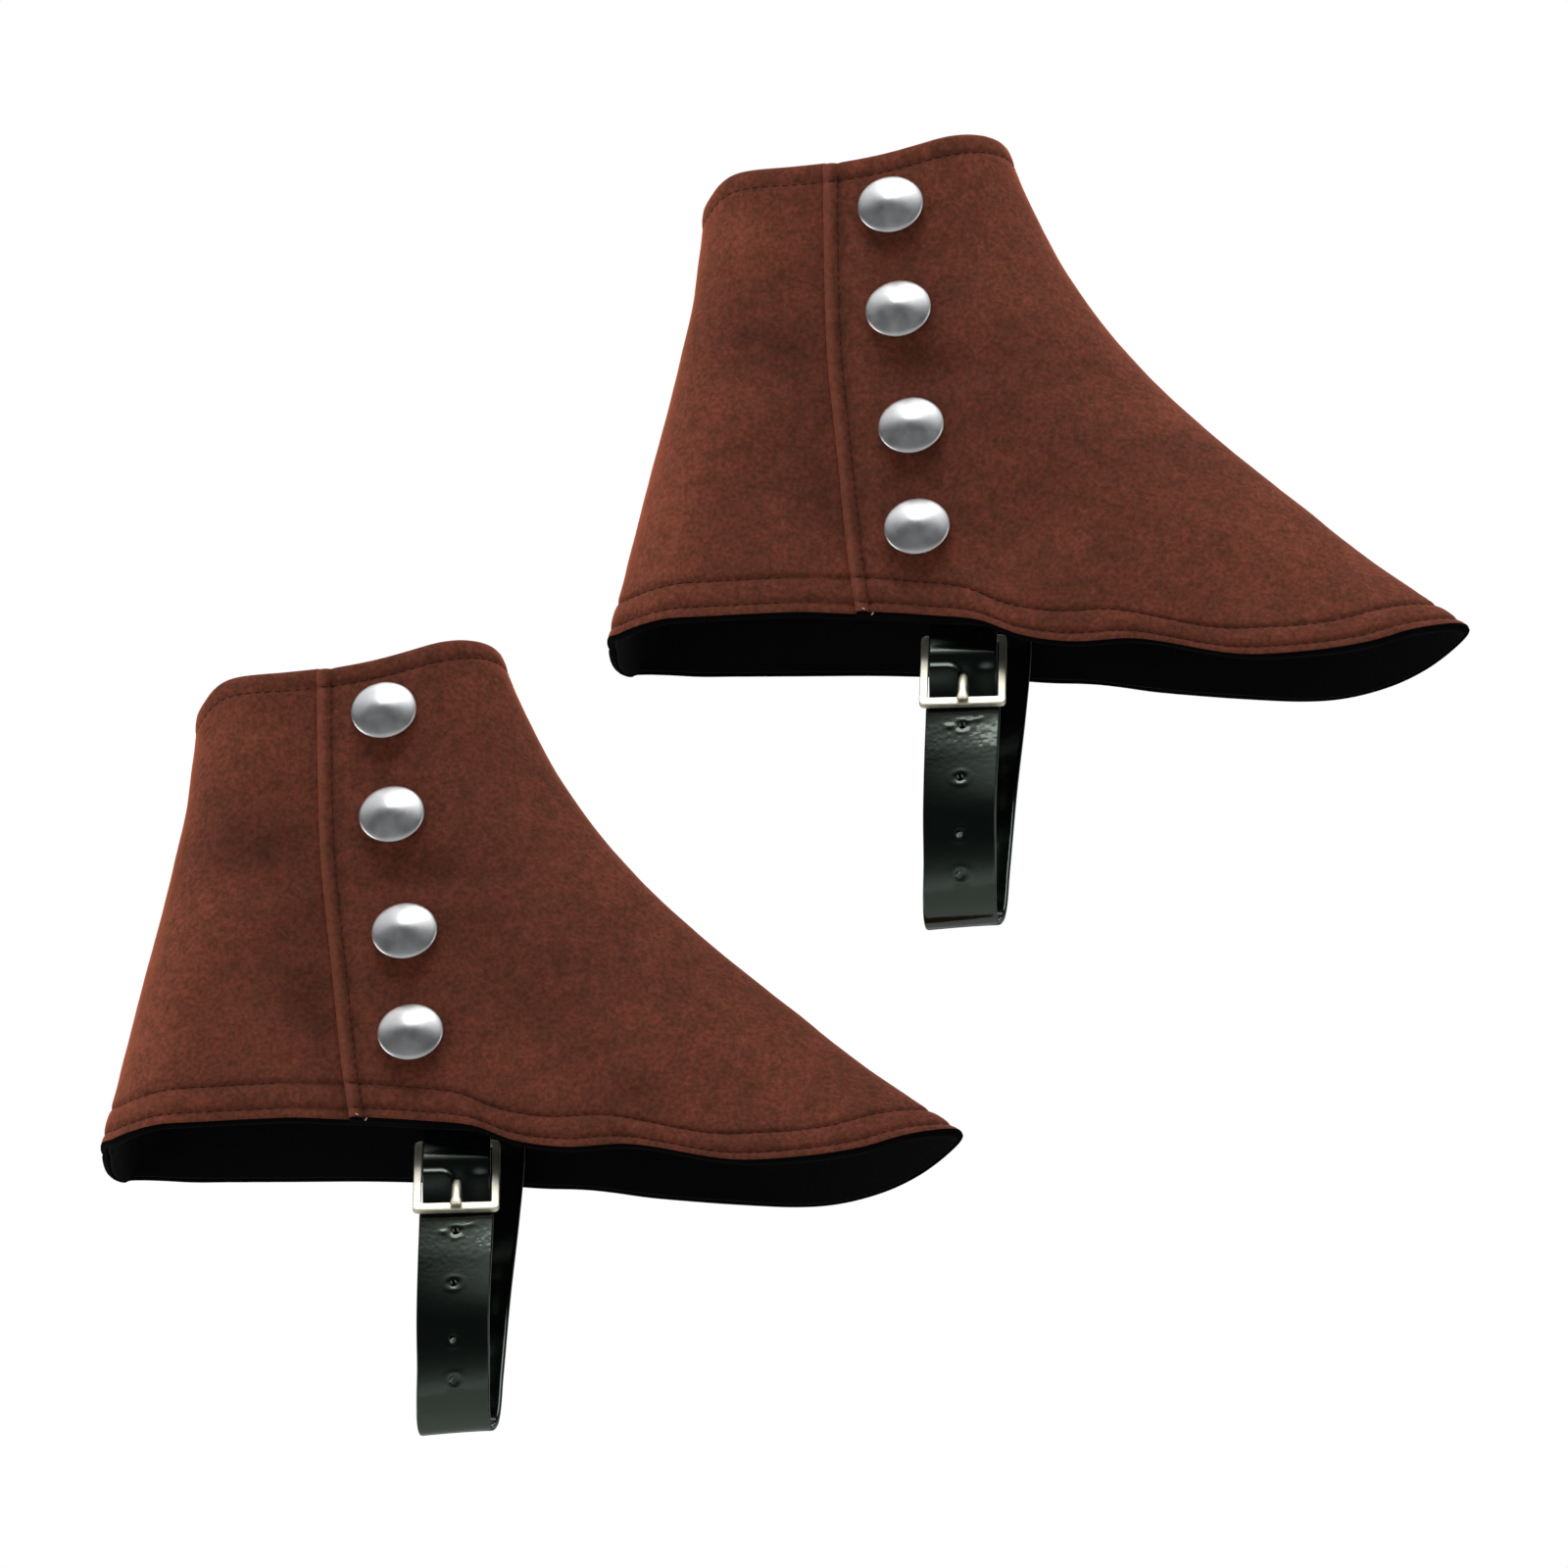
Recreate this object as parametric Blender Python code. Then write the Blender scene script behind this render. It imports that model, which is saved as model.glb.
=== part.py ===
"""A pair of boot covers: felt spats with a buttoned side, a black lining and a buckled strap under the foot.

Both covers are filled out as on a foot and point to +X, with the buttoned side towards -Y and up as +Z.
The origin is the middle of the lower cover's ankle opening. Sizes are in millimetres, and meshes in metres.
"""

import math

import bmesh
import bpy
from mathutils import Matrix, Vector

MM = 0.001

# Where each cover stands: its name, and how far it is moved along X, Y and Z
COVERS = (
    ("lower", 0.0, 0.0, 0.0),
    ("upper", 157.0, 0.0, 157.0),
)

# Cloth: felt, its lining, and the gap left between pieces that touch
FELT = 2.0
LINING = 0.8
GAP = 0.3

# The two edges seen from the side: share of the way from the ankle to the hem,
# x and z of the back seam, x and z of the front seam
PROFILE = (
    (0.000, -46.8, -6.5, 47.2, 3.6),
    (0.125, -48.0, -25.0, 54.4, -15.0),
    (0.250, -50.0, -43.0, 64.8, -37.0),
    (0.375, -53.8, -61.0, 78.1, -58.0),
    (0.500, -57.8, -79.0, 93.8, -77.5),
    (0.625, -62.5, -97.5, 113.4, -97.5),
    (0.750, -67.2, -116.0, 136.4, -118.5),
    (0.875, -71.8, -135.0, 161.8, -141.0),
    (1.000, -76.8, -154.0, 190.8, -163.5),
)

# Half widths and how the ends round off: share of the way down, half width at the heel, half width at the toe,
# length of the back rounding, length of the front rounding, bluntness of the back, bluntness of the front
ROUNDING = (
    (0.0, 26.0, 26.0, 26.0, 20.0, 1.00, 1.00),
    (0.3, 27.0, 26.5, 26.0, 44.0, 1.00, 0.92),
    (0.7, 28.5, 26.0, 24.0, 62.0, 1.00, 0.82),
    (1.0, 29.0, 25.0, 24.0, 72.0, 1.00, 0.78),
)

# On the inner side the heel and the toe turn more sharply at the hem, and the heel hangs back past its seam there
HEEL_TIGHT = 0.66
HEEL_SWING = 4.4
HEEL_REACH = 34.0
TOE_TIGHT = 0.07

# Height of the hem along the foot: x, z on the buttoned side, z on the inner side
HEM = (
    (-76.8, -154.0, -154.0),
    (-70.0, -157.8, -151.2),
    (-50.0, -157.4, -153.2),
    (0.0, -158.2, -156.4),
    (30.0, -161.3, -159.2),
    (43.0, -163.4, -160.8),
    (56.0, -169.0, -162.7),
    (72.0, -172.0, -164.5),
    (92.0, -172.0, -168.6),
    (124.0, -178.8, -173.3),
    (145.0, -177.9, -175.2),
    (162.0, -174.4, -173.9),
    (176.0, -168.6, -170.3),
    (190.8, -163.5, -163.5),
)

# The ankle's rim: how far it dips between the seams, how its back corner is rounded off, and how much of the back
# panel's sink beside the buttoned edge its rim makes up for
RIM_DIP = 6.0
RIM_CORNER = 6.0
RIM_CORNER_REACH = 7.5
RIM_LIFT = 0.6
RIM_LIFT_FADE = 4.0
RIM_POWER = 8

# The buttoned edge: share of the way down, x of the front panel's edge
PLACKET = (
    (0.00, -6.0),
    (0.40, -5.0),
    (0.66, -1.5),
    (0.88, 2.0),
    (1.00, 4.7),
)
UNDERLAP = 26.0
SINK_OVER = 20.0
LINING_HOLD = 3.0
LINING_RISE = 12.0

# Soft hollows of the cloth: side, x, z, reach along x, reach along z, depth
HOLLOWS = (
    (-1, -24.0, -62.0, 20.0, 26.0, 2.2),
    (-1, -14.0, -108.0, 12.0, 22.0, 1.8),
    (-1, 26.0, -78.0, 16.0, 9.0, 1.2),
    (-1, 34.0, -38.0, 15.0, 10.0, 0.9),
    (-1, 62.0, -128.0, 30.0, 14.0, 1.2),
    (-1, 104.0, -128.0, 22.0, 14.0, -0.9),
    (1, -20.0, -58.0, 22.0, 24.0, 2.0),
    (1, 18.0, -96.0, 26.0, 16.0, 1.8),
    (1, 70.0, -124.0, 30.0, 16.0, 1.4),
    (1, -30.0, -118.0, 18.0, 16.0, 1.0),
)

# The lining stops short of the rim and the hem by this share of the way down
LINING_INSET = 0.004

# Rows and columns of the walls: from the back seam to the placket, across the underlap, and on to the front seam
ROWS = 12
BACK_COLUMNS = 8
LAP_COLUMNS = 3
FRONT_COLUMNS = 11
INNER_COLUMNS = 20
NORMAL_STEP = 0.004
SMOOTH_ANGLE = 40.0

# Dome caps: x and z of each on the buttoned side
BUTTONS = (
    (15.4, -24.5),
    (17.9, -59.2),
    (21.9, -98.2),
    (23.7, -131.7),
)
CAP_RADIUS = 10.2
CAP_DOME = 3.8
CAP_LIP = 0.6
CAP_BACK = 9.4
STEM_RADIUS = 3.6
STEM_HEIGHT = 2.0
CAP_TILT = 9.0
CAP_SIDES = 18
CAP_RINGS = 4

# Foot strap: width of the leather, free and drawn in between the buckle's sides, with the height where that starts
# and the height over which it fades, and its thickness. Then the route of its middle from the free end to the far
# hem, as x, y, z and the yaw of its face in degrees.
STRAP_WIDTH = 22.8
STRAP_HELD = 20.8
HELD_Z = -188.5
HELD_FADE = 4.0
STRAP_THICK = 2.0
STRAP_X = 36.4
STRAP_Y = -18.6
STRAP_YAW = 5.0
STRAP_ROUTE = (
    (36.4, -18.6, -153.0, 5.0),
    (36.4, -18.6, -165.0, 5.0),
    (36.4, -18.6, -177.0, 5.0),
    (36.4, -18.9, -188.0, 4.0),
    (36.3, -22.0, -205.0, 0.0),
    (36.1, -24.0, -224.0, -4.0),
    (36.0, -22.6, -240.0, -5.0),
    (35.1, -17.2, -252.0, -4.0),
    (34.8, -10.5, -255.4, -3.0),
    (36.1, -5.0, -250.6, -2.0),
    (36.5, 0.6, -234.0, -1.0),
    (37.4, 9.0, -205.0, -2.0),
    (38.9, 17.4, -176.0, -4.0),
)
STRAP_SEAM_X = 39.6
STRAP_SEAM_YAW = -4.0
STRAP_SEAM_Z = (-156.0, -146.0)
STRAP_SEGMENTS = 36
STRAP_EDGE = 0.5
SEAT_ROOM = 0.1

# Holes of the strap, by height on its near run, and the longer one that the prong stands in
HOLES_Z = (-194.6, -212.8, -231.5, -243.8)
HOLE_RADIUS = 1.3
HOLE_SIDES = 10
PRONG_HOLE_LOW = -180.6
PRONG_HOLE_HIGH = -172.6
PRONG_HOLE_WIDTH = 2.6

# Buckle: inner widths of the frame, the size of its side, top and bottom bars, its corners, and y and z of the middle
# of its top and bottom bars
FRAME_INNER_TOP = 21.4
FRAME_INNER_BOTTOM = 21.8
SIDE_BAR = 2.4
TOP_BAR_TALL = 1.5
BOTTOM_BAR_TALL = 2.8
FRAME_THICK = 2.0
FRAME_CORNER = 2.0
FRAME_INNER_CORNER = 0.4
TOP_BAR = (-14.2, -162.9)
BOTTOM_BAR = (-21.8, -186.9)

# Prong: y and z of its bends between the top bar, which it hooks round, and its rest on the bottom bar
PRONG_RADIUS = 0.75
PRONG_BENDS = ((-16.3, -172.2), (-20.9, -179.8))
PRONG_PAST = 0.4
PRONG_X = 0.1
PRONG_SIDES = 8
HOOK_TURN = 250.0
HOOK_STEPS = 8

# The leather tab that holds the buckle's top bar. Below its seam it lies flat for TAB_FLAT, then comes forward over
# TAB_LEAN to hang above the bar from TAB_HANG down to TAB_CLOSE, and its end comes up again behind the bar.
TAB_WIDTH = 18.4
TAB_THICK = 1.4
TAB_EYE = 2.3
TAB_SEAM_Z = -135.5
TAB_FLAT = 4.0
TAB_LEAN = 9.0
TAB_LEAN_SHARE = 0.8
TAB_HANG = 14.0
TAB_CLOSE = 6.0
TAB_BACK = ((1.0, 4.0), (0.6, 9.0))
TAB_EYE_STEP = 30
TAB_SLOT = (3.6, 12.0, 9.0)
TAB_SLOT_RISE = 0.5

COLOURS = {
    "felt": ((0.105, 0.033, 0.019), 0.95, 0.0),
    "lining": ((0.006, 0.006, 0.007), 0.90, 0.0),
    "patent": ((0.008, 0.010, 0.010), 0.18, 0.0),
    "steel": ((0.62, 0.63, 0.64), 0.28, 1.0),
    "nickel": ((0.70, 0.68, 0.60), 0.25, 1.0),
}


def between(low, high, share):
    return low + (high - low) * share


def ease(share):
    """0 below 0, 1 above 1, and a smooth step between."""
    t = min(max(share, 0.0), 1.0)
    return t * t * (3.0 - 2.0 * t)


def read(table, at):
    """The other columns of a table where its first column is at, on a smooth curve through its rows."""
    keys = [row[0] for row in table]
    last = len(keys) - 1
    at = min(max(at, keys[0]), keys[last])
    i = max(k for k in range(last) if keys[k] <= at)
    span = keys[i + 1] - keys[i]
    t = (at - keys[i]) / span

    def slope(k, column):
        low, high = max(k - 1, 0), min(k + 1, last)
        return (table[high][column] - table[low][column]) / (keys[high] - keys[low])

    values = []
    for column in range(1, len(table[0])):
        start, end = table[i][column], table[i + 1][column]
        values.append(
            start * (2 * t**3 - 3 * t**2 + 1)
            + end * (3 * t**2 - 2 * t**3)
            + slope(i, column) * span * (t**3 - 2 * t**2 + t)
            + slope(i + 1, column) * span * (t**3 - t**2)
        )
    return values


def end_round(share, blunt):
    """Width of a rounded end, 0 at its tip and 1 past its length. A blunt of 1 is an ellipse."""
    t = min(max(share, 0.0), 1.0)
    arc = math.sqrt(1.0 - (1.0 - t) ** 2)
    return arc * (blunt + (1.0 - blunt) * arc * arc)


def shell(down, around, side):
    """A point of the cloth's outer face.

    down runs from the ankle's edge, 0, to the hem, 1. around runs from the back seam, 0, to the front seam, 1.
    side is -1 on the buttoned side and 1 on the inner side.
    """
    back_x, back_z, front_x, front_z = read(PROFILE, down)
    heel_half, toe_half, back_len, front_len, back_blunt, front_blunt = read(ROUNDING, down)
    along = (1.0 - math.cos(math.pi * around)) / 2
    length = front_x - back_x
    x = back_x + along * length

    hem_back, hem_front = PROFILE[-1][1], PROFILE[-1][3]
    near_z, far_z = read(HEM, between(hem_back, hem_front, along))
    hem_z = near_z if side < 0 else far_z
    hem_wave = hem_z - between(PROFILE[-1][2], PROFILE[-1][4], along)
    z = between(back_z, front_z, along) + hem_wave * down**2
    z -= RIM_DIP * math.sin(math.pi * along) * (1.0 - down) ** 2
    z -= RIM_CORNER * math.exp(-((along * length / RIM_CORNER_REACH) ** 2)) * (1.0 - down) ** RIM_POWER

    if side > 0:
        back_len *= 1.0 - HEEL_TIGHT * down**4
        front_len *= 1.0 - TOE_TIGHT * down**4
    half = between(heel_half, toe_half, ease(along))
    half *= end_round(along * length / back_len, back_blunt)
    half *= end_round((1.0 - along) * length / front_len, front_blunt)
    for on_side, at_x, at_z, reach_x, reach_z, depth in HOLLOWS:
        if on_side == side:
            near = ((x - at_x) / reach_x) ** 2 + ((z - at_z) / reach_z) ** 2
            half -= depth * math.exp(-near)
    if side > 0:
        x -= HEEL_SWING * down**4 * half / heel_half * (1.0 - ease(along * length / HEEL_REACH))
    return Vector((x, side * (max(half, 0.0) + GAP / 2), z))


def outward(down, around, side):
    """The unit normal of the outer face. On the seams it has no sideways part."""
    low, high = max(down - NORMAL_STEP, 0.0), min(down + NORMAL_STEP, 1.0)
    left, right = max(around - NORMAL_STEP, 0.0), min(around + NORMAL_STEP, 1.0)
    across = shell(down, right, side) - shell(down, left, side)
    along = shell(high, around, side) - shell(low, around, side)
    normal = across.cross(along) * side
    if around in (0.0, 1.0):
        normal.y = 0.0
    return normal.normalized()


def around_at(down, x):
    """The share of the way round that has this x at this height."""
    back_x, _, front_x, _ = read(PROFILE, down)
    along = (x - back_x) / (front_x - back_x)
    return math.acos(1.0 - 2.0 * along) / math.pi


def placket_x(down):
    return read(PLACKET, down)[0]


def columns(side, down):
    """The shares of the way round of a side's columns. On the buttoned side they run along the placket."""
    if side > 0:
        return [i / INNER_COLUMNS for i in range(INNER_COLUMNS + 1)]
    edge = around_at(down, placket_x(down))
    under = around_at(down, placket_x(down) + UNDERLAP)
    stops = ((0.0, edge, BACK_COLUMNS), (edge, under, LAP_COLUMNS), (under, 1.0, FRONT_COLUMNS))
    shares = [between(low, high, i / count) for low, high, count in stops for i in range(count)]
    return shares + [1.0]


def back_sink(down, x):
    """How far the back panel sinks to pass under the front one."""
    return (FELT + GAP) * ease(1.0 - (placket_x(down) - x) / SINK_OVER)


def back_lift(down, x):
    """The back panel's rim is cut higher where it sinks, as far as the buttoned edge."""
    shown = 1.0 - ease((x - placket_x(down)) / RIM_LIFT_FADE)
    return RIM_LIFT * back_sink(down, x) * shown * (1.0 - down) ** RIM_POWER


def lining_sink(down, x):
    """The lining lies under both layers of the placket, and rises again past the underlap."""
    past = x - placket_x(down) - UNDERLAP - LINING_HOLD
    return back_sink(down, x) * (1.0 - ease(past / LINING_RISE))


def add_object(name, mesh, material, parent):
    made = bpy.data.objects.new(name, mesh)
    bpy.context.scene.collection.objects.link(made)
    made.data.materials.append(material)
    made.parent = parent
    return made


def mesh_from(points, faces, smooth=True):
    """A closed mesh in metres, with its faces turned outwards."""
    shape = bmesh.new()
    corners = [shape.verts.new(Vector(p) * MM) for p in points]
    for face in faces:
        shape.faces.new([corners[i] for i in face])
    bmesh.ops.recalc_face_normals(shape, faces=shape.faces)
    mesh = bpy.data.meshes.new("piece")
    shape.to_mesh(mesh)
    shape.free()
    if smooth:
        mesh.shade_smooth()
        mesh.set_sharp_from_angle(angle=math.radians(SMOOTH_ANGLE))
    return mesh


def wall(side, first, last, thick, under=0.0, sink=None, lift=None, inset=0.0):
    """A cloth panel between two columns: a grid of its outer points, and the same points moved in by its thickness.

    It lies under the form's face by a set depth and by what sink adds to it, and lift raises its points.
    """
    outer, inner = [], []
    for row in range(ROWS + 1):
        down = between(inset, 1.0 - inset, row / ROWS)
        for around in columns(side, down)[first : last + 1]:
            point = shell(down, around, side)
            normal = outward(down, around, side)
            depth = under + (sink(down, point.x) if sink else 0.0)
            if lift:
                point.z += lift(down, point.x)
            outer.append(point - normal * depth)
            inner.append(point - normal * (depth + thick))
    wide = last - first + 1
    count = len(outer)
    faces = []
    for row in range(ROWS):
        for column in range(wide - 1):
            a = row * wide + column
            b, c, d = a + 1, a + wide + 1, a + wide
            for k in (0, count):
                faces += [(a + k, b + k, c + k), (a + k, c + k, d + k)]
    rim = [row * wide for row in range(ROWS, 0, -1)]
    rim += list(range(wide - 1))
    rim += [row * wide + wide - 1 for row in range(ROWS)]
    rim += [ROWS * wide + column for column in range(wide - 1, 0, -1)]
    for a, b in zip(rim, rim[1:] + rim[:1]):
        faces += [(a, b, b + count), (a, b + count, a + count)]
    return mesh_from(outer + inner, faces)


def place_on_side(side, x, z):
    """The height share and the way round of a side's point at x and z."""
    low, high = 0.0, 1.0
    for _ in range(30):
        down = (low + high) / 2
        if shell(down, around_at(down, x), side).z > z:
            low = down
        else:
            high = down
    return down, around_at(down, x)


def cap_mesh(x, z):
    """A domed cap on a short stem, turned about the cloth's normal and tipped up a little."""
    down, around = place_on_side(-1, x, z)
    seat = shell(down, around, -1)
    normal = outward(down, around, -1)
    across = Vector((1.0, 0.0, 0.0))
    up = normal.cross(across).normalized()
    if up.z < 0:
        up = -up
    across = up.cross(normal).normalized()
    tip = Matrix.Rotation(math.radians(CAP_TILT), 3, across)
    if (tip @ normal).z < normal.z:
        tip.transpose()
    face, rise = tip @ normal, tip @ up

    ball = (CAP_RADIUS**2 + CAP_DOME**2) / (2 * CAP_DOME)
    reach = math.asin(CAP_RADIUS / ball)
    base = GAP + STEM_RADIUS * math.sin(math.radians(CAP_TILT))
    profile = [(STEM_RADIUS, base), (STEM_RADIUS, STEM_HEIGHT), (CAP_BACK, STEM_HEIGHT)]
    for ring in range(CAP_RINGS):
        angle = reach * (1.0 - ring / CAP_RINGS)
        height = ball * (math.cos(angle) - math.cos(reach))
        profile.append((ball * math.sin(angle), STEM_HEIGHT + CAP_LIP + height))
    points = [seat + face * base]
    for radius, height in profile:
        for i in range(CAP_SIDES):
            turn = 2 * math.pi * i / CAP_SIDES
            spoke = across * math.cos(turn) + rise * math.sin(turn)
            points.append(seat + spoke * radius + face * height)
    points.append(seat + face * (STEM_HEIGHT + CAP_LIP + CAP_DOME))
    faces = []
    for i in range(CAP_SIDES):
        j = (i + 1) % CAP_SIDES
        faces.append((0, 1 + i, 1 + j))
        for ring in range(len(profile) - 1):
            low, high = 1 + ring * CAP_SIDES, 1 + (ring + 1) * CAP_SIDES
            faces.append((low + i, low + j, high + j, high + i))
        top = 1 + (len(profile) - 1) * CAP_SIDES
        faces.append((top + i, top + j, len(points) - 1))
    return mesh_from(points, faces)


def route_points(route, count):
    """Points evenly spread along a smooth curve through a route's rows, and the yaw there."""
    table = [(0.0, *route[0])]
    for before, row in zip(route, route[1:]):
        step = (Vector(row[:3]) - Vector(before[:3])).length
        table.append((table[-1][0] + step, *row))
    return [read(table, table[-1][0] * i / count) for i in range(count + 1)]


def strap_width(y, z):
    """The width of the strap, which is drawn in where the buckle's sides hold its near run."""
    held = ease((z - HELD_Z) / HELD_FADE) if y < 0.0 else 0.0
    return between(STRAP_WIDTH, STRAP_HELD, held)


def strip_mesh(rows, widths, thick, edge):
    """A flat strap swept along rows of x, y, z and yaw, each with its width, with its long edges bevelled."""
    deep = thick / 2
    points = []
    for i, (x, y, z, yaw) in enumerate(rows):
        half = widths[i] / 2
        outline = (
            (-half, -deep + edge), (-half + edge, -deep), (half - edge, -deep), (half, -deep + edge),
            (half, deep - edge), (half - edge, deep), (-half + edge, deep), (-half, deep - edge),
        )
        before, after = rows[max(i - 1, 0)], rows[min(i + 1, len(rows) - 1)]
        tangent = (Vector(after[:3]) - Vector(before[:3])).normalized()
        across = Vector((math.cos(math.radians(yaw)), math.sin(math.radians(yaw)), 0.0))
        across = (across - tangent * across.dot(tangent)).normalized()
        face = across.cross(tangent)
        points += [Vector((x, y, z)) + across * a + face * b for a, b in outline]
    wide = len(outline)
    faces = [tuple(range(wide)), tuple(range(len(points) - wide, len(points)))]
    for i in range(len(rows) - 1):
        for k in range(wide):
            m = (k + 1) % wide
            faces.append((i * wide + k, i * wide + m, (i + 1) * wide + m, (i + 1) * wide + k))
    return mesh_from(points, faces)


def on_strap(rows, z):
    """The strap's near run at a height: its middle and its direction."""
    for before, after in zip(rows, rows[1:]):
        if after[2] <= z:
            share = (before[2] - z) / (before[2] - after[2])
            middle = Vector([between(a, b, share) for a, b in zip(before[:3], after[:3])])
            return middle, (Vector(after[:3]) - Vector(before[:3])).normalized()


def cut(target, cutters):
    """Cuts each cutter out of a piece, then drops the cutters."""
    for cutter in cutters:
        modifier = target.modifiers.new("cut", "BOOLEAN")
        modifier.operation = "DIFFERENCE"
        modifier.solver = "EXACT"
        modifier.object = cutter
    bpy.context.view_layer.update()
    graph = bpy.context.evaluated_depsgraph_get()
    mesh = bpy.data.meshes.new_from_object(target.evaluated_get(graph))
    target.modifiers.clear()
    target.data = mesh
    for cutter in cutters:
        bpy.data.objects.remove(cutter)


def yaw_turn():
    return Matrix.Rotation(math.radians(STRAP_YAW), 4, "Z")


def box_cutter(size, middle, turn):
    bpy.ops.mesh.primitive_cube_add(size=1.0)
    made = bpy.context.active_object
    made.data.transform(Matrix.Diagonal((*[s * MM for s in size], 1.0)))
    made.data.transform(turn)
    made.data.transform(Matrix.Translation(Vector(middle) * MM))
    return made


def hole_cutter(middle, along):
    """A punch that goes square through the strap."""
    face = yaw_turn().to_3x3() @ Vector((1.0, 0.0, 0.0))
    axis = face.cross(along)
    bpy.ops.mesh.primitive_cylinder_add(vertices=HOLE_SIDES, radius=HOLE_RADIUS * MM, depth=4 * STRAP_THICK * MM)
    made = bpy.context.active_object
    made.data.transform(axis.to_track_quat("Z", "X").to_matrix().to_4x4())
    made.data.transform(Matrix.Translation(middle * MM))
    return made


def lining_face_y(side, x, z):
    """y of the lining's inner face on one side."""
    down, around = place_on_side(side, x, z)
    depth = FELT + GAP + LINING
    if side < 0:
        depth += lining_sink(down, x)
    return (shell(down, around, side) - outward(down, around, side) * depth).y


def seat_y(side, x, z, width, thick, yaw):
    """y of the middle of a flat strip that lies on the lining without cutting into it."""
    half = width / 2
    reach = (-half, -half / 2, 0.0, half / 2, half)
    lean = math.tan(math.radians(yaw))
    faces = [lining_face_y(side, x + across, z) - across * lean for across in reach]
    return (min(faces) if side > 0 else max(faces)) - side * (GAP + thick / 2 + SEAT_ROOM)


def strap_mesh():
    seam = [
        (STRAP_SEAM_X, seat_y(1, STRAP_SEAM_X, z, STRAP_WIDTH, STRAP_THICK, STRAP_SEAM_YAW), z, STRAP_SEAM_YAW)
        for z in STRAP_SEAM_Z
    ]
    rows = route_points([*STRAP_ROUTE, *seam], STRAP_SEGMENTS)
    widths = [strap_width(y, z) for _, y, z, _ in rows]
    strap = bpy.data.objects.new("strap_blank", strip_mesh(rows, widths, STRAP_THICK, STRAP_EDGE))
    bpy.context.scene.collection.objects.link(strap)
    cutters = [hole_cutter(*on_strap(rows, z)) for z in HOLES_Z]
    slot = (PRONG_HOLE_WIDTH, 4 * STRAP_THICK, PRONG_HOLE_HIGH - PRONG_HOLE_LOW)
    middle = buckle_point(PRONG_X, STRAP_Y, (PRONG_HOLE_HIGH + PRONG_HOLE_LOW) / 2)
    cutters.append(box_cutter(slot, middle, yaw_turn()))
    cut(strap, cutters)
    mesh = strap.data
    bpy.data.objects.remove(strap)
    return mesh


def buckle_point(x, y, z):
    """A point of the buckle, x across the strap from its middle, turned with the strap's face."""
    middle = Vector((STRAP_X, STRAP_Y, 0.0))
    return middle + yaw_turn().to_3x3() @ Vector((x, y - STRAP_Y, z))


def rounded_frame(top_half, bottom_half, top, bottom, radius, segments=3):
    """A rounded trapezoid's outline, as pairs of across and up."""
    corners = (
        (bottom_half, bottom, -90.0), (top_half, top, 0.0), (-top_half, top, 90.0), (-bottom_half, bottom, 180.0),
    )
    outline = []
    for across, up, start in corners:
        centre_a = across - math.copysign(radius, across)
        centre_u = up - radius if up == top else up + radius
        for i in range(segments + 1):
            angle = math.radians(start + 90.0 * i / segments)
            outline.append((centre_a + radius * math.cos(angle), centre_u + radius * math.sin(angle)))
    return outline


def buckle_mesh():
    """A flat rectangular frame, leaning so that the strap goes over its top bar and behind its bottom bar."""
    top, bottom = Vector((0.0, *TOP_BAR)), Vector((0.0, *BOTTOM_BAR))
    up = (top - bottom).normalized()
    face = Vector((1.0, 0.0, 0.0)).cross(up)
    tall = (top - bottom).length
    high, low = TOP_BAR_TALL / 2, BOTTOM_BAR_TALL / 2
    inner = rounded_frame(FRAME_INNER_TOP / 2, FRAME_INNER_BOTTOM / 2, tall - high, low, FRAME_INNER_CORNER)
    outer = rounded_frame(
        FRAME_INNER_TOP / 2 + SIDE_BAR, FRAME_INNER_BOTTOM / 2 + SIDE_BAR, tall + high, -low, FRAME_CORNER,
    )
    points = []
    for outline, depth in ((outer, -1.0), (inner, -1.0), (inner, 1.0), (outer, 1.0)):
        for across, along in outline:
            at = bottom + up * along + face * depth * FRAME_THICK / 2
            points.append(buckle_point(across, at.y, at.z))
    count = len(outer)
    faces = []
    for loop in range(4):
        here, there = loop * count, ((loop + 1) % 4) * count
        for i in range(count):
            j = (i + 1) % count
            faces.append((here + i, here + j, there + j, there + i))
    return mesh_from(points, faces, smooth=False)


def tube_mesh(points, radius, sides):
    """A round rod along points that lie in one plane square to X before it is turned with the strap."""
    rings = []
    for i, point in enumerate(points):
        tangent = (points[min(i + 1, len(points) - 1)] - points[max(i - 1, 0)]).normalized()
        across = Vector((1.0, 0.0, 0.0))
        face = across.cross(tangent)
        for k in range(sides):
            turn = 2 * math.pi * k / sides
            at = point + across * radius * math.cos(turn) + face * radius * math.sin(turn)
            rings.append(buckle_point(PRONG_X + at.x, at.y, at.z))
    faces = [tuple(range(sides)), tuple(range(len(rings) - sides, len(rings)))]
    for i in range(len(points) - 1):
        for k in range(sides):
            m = (k + 1) % sides
            faces.append((i * sides + k, i * sides + m, (i + 1) * sides + m, (i + 1) * sides + k))
    return mesh_from(rings, faces)


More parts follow.
